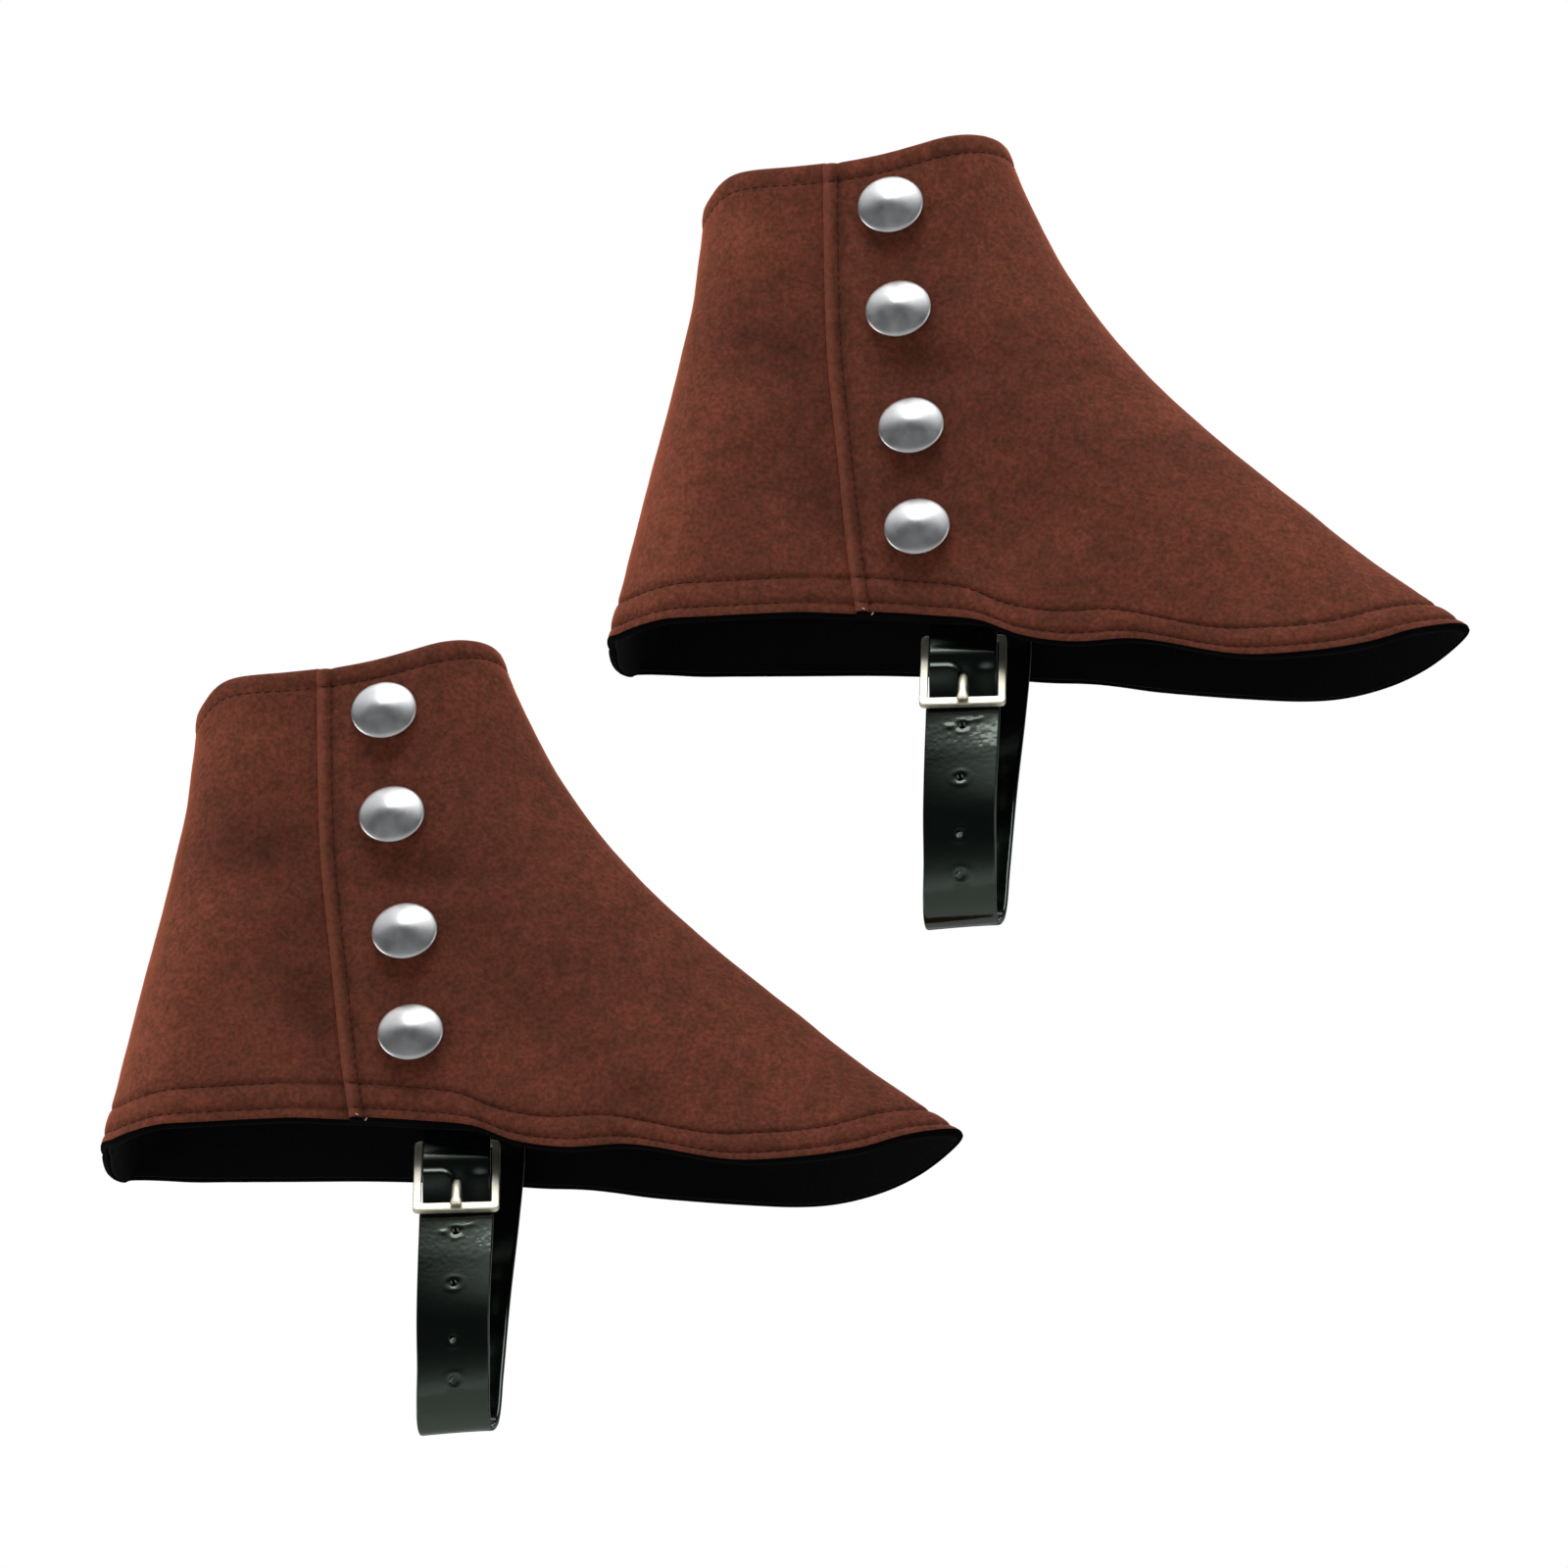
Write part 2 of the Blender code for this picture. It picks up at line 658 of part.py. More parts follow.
def prong_mesh():
    """A rod hooked round the top bar that goes down through the strap and lies on the bottom bar."""
    bar, rest = Vector((0.0, *TOP_BAR)), Vector((0.0, *BOTTOM_BAR))
    eye = math.hypot(TOP_BAR_TALL / 2, FRAME_THICK / 2) + GAP / 2 + PRONG_RADIUS
    down = (rest - bar).normalized()
    out = Vector((0.0, down.z, -down.y))
    tip = rest + out * (FRAME_THICK / 2 + GAP + PRONG_RADIUS) + down * PRONG_PAST
    hook = []
    for i in range(HOOK_STEPS + 1):
        turn = math.radians(180.0 - HOOK_TURN * (1.0 - i / HOOK_STEPS))
        hook.append(bar + Vector((0.0, math.cos(turn), math.sin(turn))) * eye)
    bends = [Vector((0.0, *bend)) for bend in PRONG_BENDS]
    return tube_mesh(hook + bends + [tip], PRONG_RADIUS, PRONG_SIDES)


def tab_mesh():
    """A folded leather tab, sewn to the lining above and looped round the buckle's top bar."""
    y, z = TOP_BAR
    seat = seat_y(-1, STRAP_X, TAB_SEAM_Z, TAB_WIDTH, TAB_THICK, STRAP_YAW)
    front = [
        (seat, TAB_SEAM_Z),
        (seat, TAB_SEAM_Z - TAB_FLAT),
        (between(seat, y - TAB_EYE, TAB_LEAN_SHARE), TAB_SEAM_Z - TAB_LEAN),
        (y - TAB_EYE, z + TAB_HANG),
        (y - TAB_EYE, z + TAB_CLOSE),
    ]
    eye = [
        (y - TAB_EYE * math.cos(math.radians(a)), z - TAB_EYE * math.sin(math.radians(a)))
        for a in range(0, 181, TAB_EYE_STEP)
    ]
    back = [(y + TAB_EYE * share, z + rise) for share, rise in TAB_BACK]
    rows = []
    for at_y, at_z in front + eye + back:
        at = buckle_point(0.0, at_y, at_z)
        rows.append((at.x, at.y, at.z, STRAP_YAW))
    tab = bpy.data.objects.new("tab_blank", strip_mesh(rows, [TAB_WIDTH] * len(rows), TAB_THICK, TAB_THICK / 4))
    bpy.context.scene.collection.objects.link(tab)
    middle = buckle_point(PRONG_X, y, z + TAB_SLOT_RISE)
    cut(tab, [box_cutter(TAB_SLOT, middle, yaw_turn())])
    mesh = tab.data
    bpy.data.objects.remove(tab)
    return mesh


def make_material(name):
    colour, rough, metal = COLOURS[name]
    made = bpy.data.materials.new(name)
    made.use_nodes = True
    shader = made.node_tree.nodes["Principled BSDF"]
    shader.inputs["Base Color"].default_value = (*colour, 1.0)
    shader.inputs["Roughness"].default_value = rough
    shader.inputs["Metallic"].default_value = metal
    return made


def main():
    for old in list(bpy.data.objects):
        bpy.data.objects.remove(old)
    materials = {name: make_material(name) for name in COLOURS}
    lap_end = BACK_COLUMNS + LAP_COLUMNS
    last = lap_end + FRONT_COLUMNS
    pieces = {
        "outer_front": (wall(-1, BACK_COLUMNS, last, FELT), "felt"),
        "outer_back": (wall(-1, 0, lap_end, FELT, sink=back_sink, lift=back_lift), "felt"),
        "inner_side": (wall(1, 0, INNER_COLUMNS, FELT), "felt"),
        "lining_outer": (wall(-1, 0, last, LINING, FELT + GAP, lining_sink, inset=LINING_INSET), "lining"),
        "lining_inner": (wall(1, 0, INNER_COLUMNS, LINING, FELT + GAP, inset=LINING_INSET), "lining"),
        "strap": (strap_mesh(), "patent"),
        "buckle": (buckle_mesh(), "nickel"),
        "prong": (prong_mesh(), "nickel"),
        "tab": (tab_mesh(), "patent"),
    }
    for number, (x, z) in enumerate(BUTTONS, 1):
        pieces[f"button_{number}"] = (cap_mesh(x, z), "steel")
    for cover, *offset in COVERS:
        place = bpy.data.objects.new(cover, None)
        bpy.context.scene.collection.objects.link(place)
        place.location = Vector(offset) * MM
        for name, (mesh, finish) in pieces.items():
            add_object(f"{cover}_{name}", mesh, materials[finish], place)


main()
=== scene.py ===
"""A pair of boot covers: napped brown felt over a black lining, nickel domes and a buckled patent strap."""

import math

import bpy
import numpy as np
from mathutils import Matrix, Vector, noise


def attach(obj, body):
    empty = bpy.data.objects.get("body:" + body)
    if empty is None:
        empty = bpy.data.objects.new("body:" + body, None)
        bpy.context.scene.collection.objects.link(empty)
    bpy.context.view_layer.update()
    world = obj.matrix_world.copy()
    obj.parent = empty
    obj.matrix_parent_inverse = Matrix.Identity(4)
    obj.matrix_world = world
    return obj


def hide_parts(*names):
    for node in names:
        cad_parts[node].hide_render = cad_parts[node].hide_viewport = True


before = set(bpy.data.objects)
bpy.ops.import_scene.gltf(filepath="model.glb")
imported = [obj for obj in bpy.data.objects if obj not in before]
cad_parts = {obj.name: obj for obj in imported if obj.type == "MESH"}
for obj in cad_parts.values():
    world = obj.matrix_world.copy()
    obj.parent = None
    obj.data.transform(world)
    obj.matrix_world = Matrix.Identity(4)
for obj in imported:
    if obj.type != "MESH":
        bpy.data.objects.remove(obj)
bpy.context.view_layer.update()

# The studio: the pair hangs in soft light, well above a pale floor, so that nothing is in the way of the
# camera. It looks up from 22 degrees below and 9 degrees to the toe side, with both covers at one scale.
MM = 0.001
VIEW_TURN = math.radians(9.0)
VIEW_RISE = math.radians(-22.0)
VIEW_AIM = Vector((134.9, 0.0, -44.5)) * MM
VIEW_DISTANCE = 2.0
VIEW_WIDTH = 0.48
FLOOR_Z = -2.5
FLOOR_SIZE = 9.0
STUDIO = (
    # name, place, energy in watts, width, height
    ("overhead", (0.12, -0.72, 1.62), 21.0, 1.3, 1.2),
    ("heel_side", (-1.65, -0.30, -0.45), 13.0, 1.0, 1.3),
    ("toe_side", (1.95, -0.20, 0.30), 7.0, 1.0, 1.3),
    ("behind", (0.1, 1.6, 1.20), 8.0, 1.4, 0.8),
)


def add(tree, kind, inputs=None, **settings):
    """Adds a shader node with its settings, its values and its links."""
    made = tree.nodes.new(kind)
    for name, value in settings.items():
        setattr(made, name, value)
    for name, value in (inputs or {}).items():
        if isinstance(value, bpy.types.NodeSocket):
            tree.links.new(value, made.inputs[name])
        else:
            made.inputs[name].default_value = value
    return made


def colour(code):
    """An sRGB hex colour as linear light."""
    parts = [int(code[i:i + 2], 16) / 255 for i in (1, 3, 5)]
    return (*[c / 12.92 if c <= 0.04045 else ((c + 0.055) / 1.055) ** 2.4 for c in parts], 1.0)


def new_material(name, finish):
    """A material with its finish set on the shader's own sockets, and its nodes and shader."""
    made = bpy.data.materials.new(name)
    made.use_nodes = True
    shader = made.node_tree.nodes["Principled BSDF"]
    for socket, value in finish.items():
        shader.inputs[socket].default_value = value
    return made, made.node_tree, shader


view_from = Vector((
    math.sin(VIEW_TURN) * math.cos(VIEW_RISE),
    -math.cos(VIEW_TURN) * math.cos(VIEW_RISE),
    math.sin(VIEW_RISE),
))
bpy.ops.object.camera_add(
    location=VIEW_AIM + view_from * VIEW_DISTANCE,
    rotation=(-view_from).to_track_quat("-Z", "Y").to_euler(),
)
camera = bpy.context.active_object
camera.data.type = "ORTHO"
camera.data.ortho_scale = VIEW_WIDTH
bpy.context.scene.camera = camera
bpy.context.scene.view_settings.view_transform = "Standard"

for name, place, energy, width, height in STUDIO:
    bpy.ops.object.light_add(
        type="AREA", location=place,
        rotation=(VIEW_AIM - Vector(place)).to_track_quat("-Z", "Y").to_euler(),
    )
    light = bpy.context.active_object
    light.name = name
    light.data.shape = "RECTANGLE"
    light.data.size = width
    light.data.size_y = height
    light.data.energy = energy

# White behind the object, and for its gloss a room that is pale above and below and dark just over eye
# level. Each stop is a height, from straight down 0 to straight up 1, and how bright the room is there.
world = bpy.data.worlds.new("studio")
bpy.context.scene.world = world
world.use_nodes = True
sky = world.node_tree
sky.nodes.clear()
direction = add(sky, "ShaderNodeTexCoord").outputs["Generated"]
height = add(sky, "ShaderNodeSeparateXYZ", {"Vector": direction}).outputs["Z"]
share = add(sky, "ShaderNodeMapRange", {"Value": height, "From Min": -1.0, "From Max": 1.0}).outputs["Result"]
room = add(sky, "ShaderNodeValToRGB", {"Fac": share})
room.color_ramp.elements[0].position = 0.16
room.color_ramp.elements[0].color = (0.80, 0.80, 0.79, 1.0)
room.color_ramp.elements[1].color = (1.40, 1.40, 1.38, 1.0)
for at, grey in (
    (0.25, 1.00), (0.33, 0.85), (0.40, 0.42), (0.46, 0.20), (0.52, 0.12), (0.58, 0.06),
    (0.70, 0.04), (0.76, 0.10), (0.81, 0.48), (0.84, 0.80), (0.88, 1.25),
):
    room.color_ramp.elements.new(at).color = (grey, grey, grey * 1.01, 1.0)
lit = add(sky, "ShaderNodeBackground", {"Color": room.outputs["Color"], "Strength": 1.0})
plain = add(sky, "ShaderNodeBackground", {"Color": (1.0, 1.0, 1.0, 1.0), "Strength": 1.0})
seen = add(sky, "ShaderNodeLightPath").outputs["Is Camera Ray"]
both = add(sky, "ShaderNodeMixShader", {0: seen, 1: lit.outputs[0], 2: plain.outputs[0]})
add(sky, "ShaderNodeOutputWorld", {"Surface": both.outputs[0]})

bpy.ops.mesh.primitive_plane_add(size=FLOOR_SIZE, location=(0.0, 0.0, FLOOR_Z))
floor = bpy.context.active_object
floor.name = "floor"
paper, tree, shader = new_material("white_paper_floor", {"Base Color": colour("#e6e6e3"), "Roughness": 0.9})
floor.data.materials.append(paper)

# Felt panels: each cover is cut from three panels of 2 mm felt, seamed at the centre front and back,
# turned in at the rim and the hem and folded along the buttoned edge. They are filled out on the form of
# a foot, given here in mm, with a thin lining inside and a hair between layers that touch.
FELT = 2.0
LINING = 0.8
GAP = 0.3
SEAMS = np.array((
    # share of the way down, then x and z of the back seam and of the front seam
    (0.000, -46.8, -6.5, 47.2, 3.6),
    (0.125, -48, -25, 54.4, -15),
    (0.250, -50, -43, 64.8, -37),
    (0.375, -53.8, -61, 78.1, -58),
    (0.500, -57.8, -79, 93.8, -77.5),
    (0.625, -62.5, -97.5, 113.4, -97.5),
    (0.750, -67.2, -116, 136.4, -118.5),
    (0.875, -71.8, -135, 161.8, -141),
    (1.000, -76.8, -154, 190.8, -163.5),
))
ROUNDING = np.array((
    # share of the way down, half width at the heel and at the toe, length and bluntness of each rounded end
    (0, 26, 26, 26, 20, 1.00, 1.00),
    (0.3, 27, 26.5, 26, 44, 1.00, 0.92),
    (0.7, 28.5, 26, 24, 62, 1.00, 0.82),
    (1, 29, 25, 24, 72, 1.00, 0.78),
))
# On the inner side the heel and toe are rounder near the hem, and the heel swings back
HEEL_TIGHT = 0.66
HEEL_SWING = 4.4
HEEL_REACH = 34.0
TOE_TIGHT = 0.07
HEM = np.array((
    # x, z of the buttoned side's hem, z of the inner side's
    (-76.8, -154, -154),
    (-70, -157.8, -151.2),
    (-50, -157.4, -153.2),
    (0, -158.2, -156.4),
    (30, -161.3, -159.2),
    (43, -163.4, -160.8),
    (56, -169, -162.7),
    (72, -172, -164.5),
    (92, -172, -168.6),
    (124, -178.8, -173.3),
    (145, -177.9, -175.2),
    (162, -174.4, -173.9),
    (176, -168.6, -170.3),
    (190.8, -163.5, -163.5),
))
# How the rim dips between the seams, drops at the back seam and is lifted where the back panel sinks, and
# the power with which the last two are lost below it
RIM_DIP = 6.0
RIM_CORNER = 6.0
RIM_CORNER_REACH = 7.5
RIM_LIFT = 0.6
RIM_LIFT_FADE = 4.0
RIM_POWER = 8
# The panels' outer faces pass by this at a centre seam, which lets no light through
SEAM_LAP = 0.05
# The buttoned edge: share of the way down and x. The back panel sinks before it and goes on under it.
PLACKET = np.array(((0.00, -6.0), (0.40, -5.0), (0.66, -1.5), (0.88, 2.0), (1.00, 4.7)))
UNDERLAP = 26.0
SINK_OVER = 20.0
# Where the form falls in, or out if its depth is below 0
HOLLOWS = (
    # side, x, z, turn in degrees, length, width, depth
    (-1, -24, -62, 0, 20, 26, 2.2),
    (-1, -14, -108, 0, 12, 22, 1.8),
    (-1, 26, -78, 0, 16, 9, 1.2),
    (-1, 34, -38, 0, 15, 10, 0.9),
    (-1, 62, -128, 0, 30, 14, 1.2),
    (-1, 104, -128, 0, 22, 14, -0.9),
    (1, -20, -58, 0, 22, 24, 2),
    (1, 18, -96, 0, 26, 16, 1.8),
    (1, 70, -124, 0, 30, 16, 1.4),
    (1, -30, -118, 0, 18, 16, 1),
)


def curve(rows, at):
    """The other columns of a table where its first column is at, on a smooth curve through its rows."""
    keys, values = rows[:, 0], rows[:, 1:]
    last = len(keys) - 1
    at = np.clip(at, keys[0], keys[last])
    i = np.clip(np.searchsorted(keys, at, "right") - 1, 0, last - 1)
    before, after = np.maximum(np.arange(last + 1) - 1, 0), np.minimum(np.arange(last + 1) + 1, last)
    slope = (values[after] - values[before]) / (keys[after] - keys[before])[:, None]
    span = (keys[i + 1] - keys[i])[..., None]
    t = (at - keys[i])[..., None] / span
    found = (
        values[i] * (2 * t**3 - 3 * t**2 + 1)
        + values[i + 1] * (3 * t**2 - 2 * t**3)
        + slope[i] * span * (t**3 - 2 * t**2 + t)
        + slope[i + 1] * span * (t**3 - t**2)
    )
    return np.moveaxis(found, -1, 0)


def run_along(points, axis=0):
    """How long the way along one axis of a grid of points is, up to each of them."""
    first = np.take(points, [0], axis)
    return np.cumsum(np.linalg.norm(np.diff(points, axis=axis, prepend=first), axis=-1), axis=axis)


def ease(share):
    t = np.clip(share, 0.0, 1.0)
    return t * t * (3.0 - 2.0 * t)


def end_round(share, blunt):
    """Width of a rounded end, 0 at its tip and 1 past its length."""
    arc = np.sqrt(1.0 - (1.0 - np.clip(share, 0.0, 1.0)) ** 2)
    return arc * (blunt + (1.0 - blunt) * arc * arc)


def soft_spots(rows, x, z, side):
    """What the soft oval spots of a table come to at x and z on this side."""
    total = np.zeros(np.shape(x))
    for on_side, at_x, at_z, turn, long, wide, amount in rows:
        if on_side == side:
            angle = math.radians(turn)
            along = (x - at_x) * math.cos(angle) + (z - at_z) * math.sin(angle)
            across = (z - at_z) * math.cos(angle) - (x - at_x) * math.sin(angle)
            total += amount * np.exp(-((along / long) ** 2) - (across / wide) ** 2)
    return total


def on_form(down, around, side):
    """Points of the felt's outer face. down runs from ankle 0 to hem 1, around from back seam 0 to front 1.

    side is -1 on the buttoned side and 1 on the inner side.
    """
    down, around = np.broadcast_arrays(np.asarray(down, float), np.asarray(around, float))
    back_x, back_z, front_x, front_z = curve(SEAMS, down)
    heel_half, toe_half, back_len, front_len, back_blunt, front_blunt = curve(ROUNDING, down)
    along = (1.0 - np.cos(np.pi * around)) / 2
    length = front_x - back_x
    x = back_x + along * length
    _, hem_back_x, hem_back_z, hem_front_x, hem_front_z = SEAMS[-1]
    near_z, far_z = curve(HEM, hem_back_x + (hem_front_x - hem_back_x) * along)
    wave = (near_z if side < 0 else far_z) - (hem_back_z + (hem_front_z - hem_back_z) * along)
    z = back_z + (front_z - back_z) * along + wave * down**2
    z = z - RIM_DIP * np.sin(np.pi * along) * (1.0 - down) ** 2
    z = z - RIM_CORNER * np.exp(-((along * length / RIM_CORNER_REACH) ** 2)) * (1.0 - down) ** RIM_POWER
    if side > 0:
        back_len = back_len * (1.0 - HEEL_TIGHT * down**4)
        front_len = front_len * (1.0 - TOE_TIGHT * down**4)
    half = heel_half + (toe_half - heel_half) * ease(along)
    half = half * end_round(along * length / back_len, back_blunt)
    half = half * end_round((1.0 - along) * length / front_len, front_blunt)
    half = half - soft_spots(HOLLOWS, x, z, side)
    if side > 0:
        x = x - HEEL_SWING * down**4 * half / heel_half * (1.0 - ease(along * length / HEEL_REACH))
    return np.stack([x, side * (np.maximum(half, 0.0) + GAP / 2), z], -1)


def around_at(down, x):
    """The share of the way round that has this x at this height."""
    back_x, _, front_x, _ = curve(SEAMS, down)
    return np.arccos(1.0 - 2.0 * (x - back_x) / (front_x - back_x)) / np.pi


def placket_x(down):
    return curve(PLACKET, down)[0]


# Rows of a felt panel's grid, in mm from the rim and from the hem: close together where a line of
# stitches pulls the felt in, and even between. Columns do the same beside the buttoned edge.
RIM_STITCH = 6.3
HEM_STITCH = 4.5
HEM_STITCH_HIGH = 12.8
EDGE_STITCH = 4.5
RIM_ROWS = np.array((0.0, 0.25, 0.6, 1.1, 1.8, 2.8, 3.9, 4.8, 5.4, 5.8, 6.05, 6.3, 6.55, 6.8, 7.2, 7.9, 9.2))
HEM_ROWS = np.array((
    0.0, 0.25, 0.6, 1.1, 1.8, 2.6, 3.3, 3.8, 4.15, 4.5, 4.85, 5.2, 5.7, 6.6, 8.0, 9.6, 10.9,
    11.7, 12.15, 12.5, 12.8, 13.1, 13.45, 13.9, 14.8, 16.4,
))
EDGE_COLUMNS = HEM_ROWS[:15]
MIDDLE_ROWS = 62
ALL_ROWS = len(RIM_ROWS) + MIDDLE_ROWS + len(HEM_ROWS)
FRONT_COLUMNS = 83
BACK_COLUMNS = 76
INNER_COLUMNS = 132
FINE = np.linspace(0.0, 1.0, 161)

# Soft creases that the hands have left: side, x, z, turn in degrees, length, width, rise
CREASES = (
    (-1, -34, -74, 62, 30, 7, -0.55),
    (-1, -24, -92, 35, 20, 6, 0.45),
    (-1, -50, -128, 75, 22, 6, -0.45),
    (-1, -11, -118, 80, 20, 5, -0.6),
    (-1, 31, -66, 8, 16, 5, 0.5),
    (-1, 36, -79, -6, 18, 4.5, -0.6),
    (-1, 33, -116, 10, 16, 5, -0.45),
    (-1, 78, -104, -38, 26, 8, 0.5),
    (-1, 120, -150, -20, 30, 7, -0.5),
    (-1, 88, -148, 12, 22, 7, 0.45),
    (-1, 152, -157, -34, 18, 6, 0.4),
    (-1, -30, -24, -12, 18, 7, -0.4),
    (1, -38, -66, 70, 26, 7, -0.6),
    (1, -8, -84, 28, 24, 6, 0.6),
    (1, 22, -52, -20, 22, 7, -0.5),
    (1, 34, -112, -32, 30, 7, -0.7),
    (1, 66, -132, 14, 24, 6, 0.5),
    (1, 108, -142, -24, 30, 8, -0.55),
    (1, -46, -130, 82, 20, 6, 0.4),
    (1, 142, -158, -30, 20, 6, 0.4),
    (1, 4, -134, 6, 26, 6, -0.45),
)
# Painted shade and light on the felt: darker patches over the hollows and across the middle of the
# panels, lighter ones toward the heel and the toe where the side lights fall: side, x, z, turn in degrees,
# length, width, tone
PAINTED_LIGHT_AND_SHADE_PATCHES = (
    (-1, -21, -66, 0, 19, 13, -0.34),
    (-1, -7, -120, 0, 9, 16, -0.34),
    (-1, -12, -92, 0, 14, 18, -0.14),
    (-1, 26, -78, 0, 17, 8, -0.26),
    (-1, 62, -86, 0, 42, 34, -0.16),
    (-1, 30, -44, 0, 24, 14, -0.10),
    (-1, 92, -112, 0, 26, 16, -0.10),
    (-1, 26, -116, 0, 26, 24, -0.10),
    (-1, -36, -30, 0, 18, 16, 0.20),
    (-1, -46, -92, 0, 15, 20, 0.12),
    (-1, -62, -122, 0, 15, 34, 0.44),
    (-1, 96, -70, 0, 22, 40, 0.20),
    (-1, 132, -138, 0, 26, 14, 0.12),
    (1, -24, -70, 0, 22, 16, -0.24),
    (1, 12, -104, 0, 26, 14, -0.20),
    (1, 58, -92, 0, 24, 26, -0.14),
    (1, 96, -140, 0, 30, 14, -0.16),
    (1, -50, -122, 0, 14, 24, 0.10),
    (1, 134, -140, 0, 24, 14, 0.12),
)
UPPER_PLACE = Vector((0.157, 0.0, 0.157))


def draped(side, around, seams, rim_rows=RIM_ROWS, hem_rows=HEM_ROWS, middle_rows=MIDDLE_ROWS):
    """Lays a panel's grid on the form: its points, the way out at each, and each one's share of the way down.

    around holds the columns' shares of the way round, a row for each of FINE. seams names the side edges,
    first 0 or last -1, that end at a centre seam, where the wall meets the other panel's in the seam's plane.
    """
    lines = on_form(FINE[:, None], around, side)
    run = run_along(lines)
    down, share = [], []
    for column in range(around.shape[1]):
        total = run[-1, column]
        middle = np.linspace(rim_rows[-1], total - hem_rows[-1], middle_rows + 2)[1:-1]
        marks = np.concatenate([rim_rows, middle, (total - hem_rows)[::-1]])
        down.append(np.interp(marks, run[:, column], FINE))
        share.append(np.interp(down[-1], FINE, around[:, column]))
    down, share = np.array(down).T, np.array(share).T
    face = on_form(down, share, side)
    for edge in seams:
        face[:, edge, 1] = -side * SEAM_LAP
    out = np.cross(np.gradient(face, axis=1), np.gradient(face, axis=0)) * side
    for edge in seams:
        out[:, edge, 1] = 0.0
    out /= np.linalg.norm(out, axis=2)[..., None]
    return face + out * soft_spots(CREASES, face[..., 0], face[..., 2], side)[..., None], out, down


def hump(distance, at, width):
    return np.exp(-(((distance - at) / width) ** 2))


def groove(distance, at, depth, width=0.95):
    return -depth * hump(distance, at, width)


def rolled(distance, radius):
    """How far a turned edge rolls in, from its very edge to one radius away."""
    inside = np.clip(radius - distance, 0.0, radius)
    return -(radius - np.sqrt(radius**2 - inside**2)) * 0.9


def uneven(points, size, amount, seed):
    """Low soft lumps, as wide as size."""
    flat = (points.reshape(-1, 3) / size + seed).tolist()
    return amount * np.array([noise.noise(p) for p in flat]).reshape(points.shape[:2])


def cloth(name, outer, inner, side):
    """A sheet of cloth with both faces in place: a flat grid laid on the form and given its thickness."""
    rows, columns = outer.shape[:2]
    bpy.ops.object.select_all(action="DESELECT")
    bpy.ops.mesh.primitive_grid_add(x_subdivisions=columns - 1, y_subdivisions=rows - 1)
    sheet = bpy.context.active_object
    sheet.name = name
    flat = np.stack([run_along(outer, 1), -run_along(outer)], -1)
    flat = (flat.reshape(-1, 2) * MM).astype(np.float32)
    corners = np.zeros(len(sheet.data.loops), np.int32)
    sheet.data.loops.foreach_get("vertex_index", corners)
    sheet.data.uv_layers.active.data.foreach_set("uv", flat[corners].ravel())
    sheet.data.vertices.foreach_set("co", (outer.reshape(-1, 3) * MM).astype(np.float32).ravel())
    if side < 0:
        bpy.ops.object.mode_set(mode="EDIT")
        bpy.ops.mesh.select_all(action="SELECT")
        bpy.ops.mesh.flip_normals()
        bpy.ops.object.mode_set(mode="OBJECT")
    wall = sheet.modifiers.new("wall", "SOLIDIFY")
    wall.thickness = 0.1 * MM
    wall.offset = -1.0
    bpy.ops.object.modifier_apply(modifier="wall")
    both = np.concatenate([outer.reshape(-1, 3), inner.reshape(-1, 3)]) * MM
    sheet.data.vertices.foreach_set("co", both.astype(np.float32).ravel())
    sheet.data.update()
    bpy.ops.object.shade_smooth_by_angle(angle=math.radians(50))
    return sheet


def for_both(piece, slot, *nodes):
    """Gives each cover the piece: the lower one as it is and the upper one its own copy."""
    stem = piece.name
    twin = piece.copy()
    twin.data = piece.data.copy()
    bpy.context.scene.collection.objects.link(twin)
    twin.data.transform(Matrix.Translation(UPPER_PLACE))
    made = {"lower": piece, "upper": twin}
    for cover, own in made.items():
        own.name = f"{cover}_{stem}"
        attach(own, "root")
        if nodes:
            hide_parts(*[f"{cover}_{node}" for node in nodes])
    return list(made.values())


def store(piece, name, values):
    """Keeps one number at each point of a piece for its material to read."""
    kept = piece.data.attributes.new(name, "FLOAT", "POINT")
    kept.data.foreach_set("value", values.astype(np.float32).ravel())


# Wool felt, brushed to a short nap and dyed brown: a soft, matt face with darker flecks where the nap
# parts, and fibre ends that catch an orange light where the cloth turns away. Light and shade are also
# painted into its colour: a painted highlight, partly wear, along the rolled edges, and painted shade in
# patches and in the sewn grooves.
# Flecks are 1.4 mm apart, coarser than the real fibres, so that they show, and the nap lies in patches of
# 5 and 24 mm.
felt, tree, shader = new_material("brushed_wool_felt", {
    "Roughness": 0.95, "Specular IOR Level": 0.15,
    "Sheen Weight": 0.9, "Sheen Roughness": 0.30, "Sheen Tint": colour("#c8663c"),
})
place = add(tree, "ShaderNodeTexCoord").outputs["Object"]
blotch = add(tree, "ShaderNodeTexNoise", {"Vector": place, "Scale": 42.0, "Detail": 3.0, "Roughness": 0.55})
fleck = add(tree, "ShaderNodeTexNoise", {"Vector": place, "Scale": 700.0, "Detail": 4.0, "Roughness": 0.6})
fibre = add(tree, "ShaderNodeTexNoise", {"Vector": place, "Scale": 1700.0, "Detail": 2.0, "Roughness": 0.6})
flecked = add(tree, "ShaderNodeValToRGB", {"Fac": fleck.outputs["Fac"]})
flecked.color_ramp.elements[0].position = 0.32
flecked.color_ramp.elements[0].color = colour("#562c20")
flecked.color_ramp.elements[1].position = 0.70
flecked.color_ramp.elements[1].color = colour("#75402f")
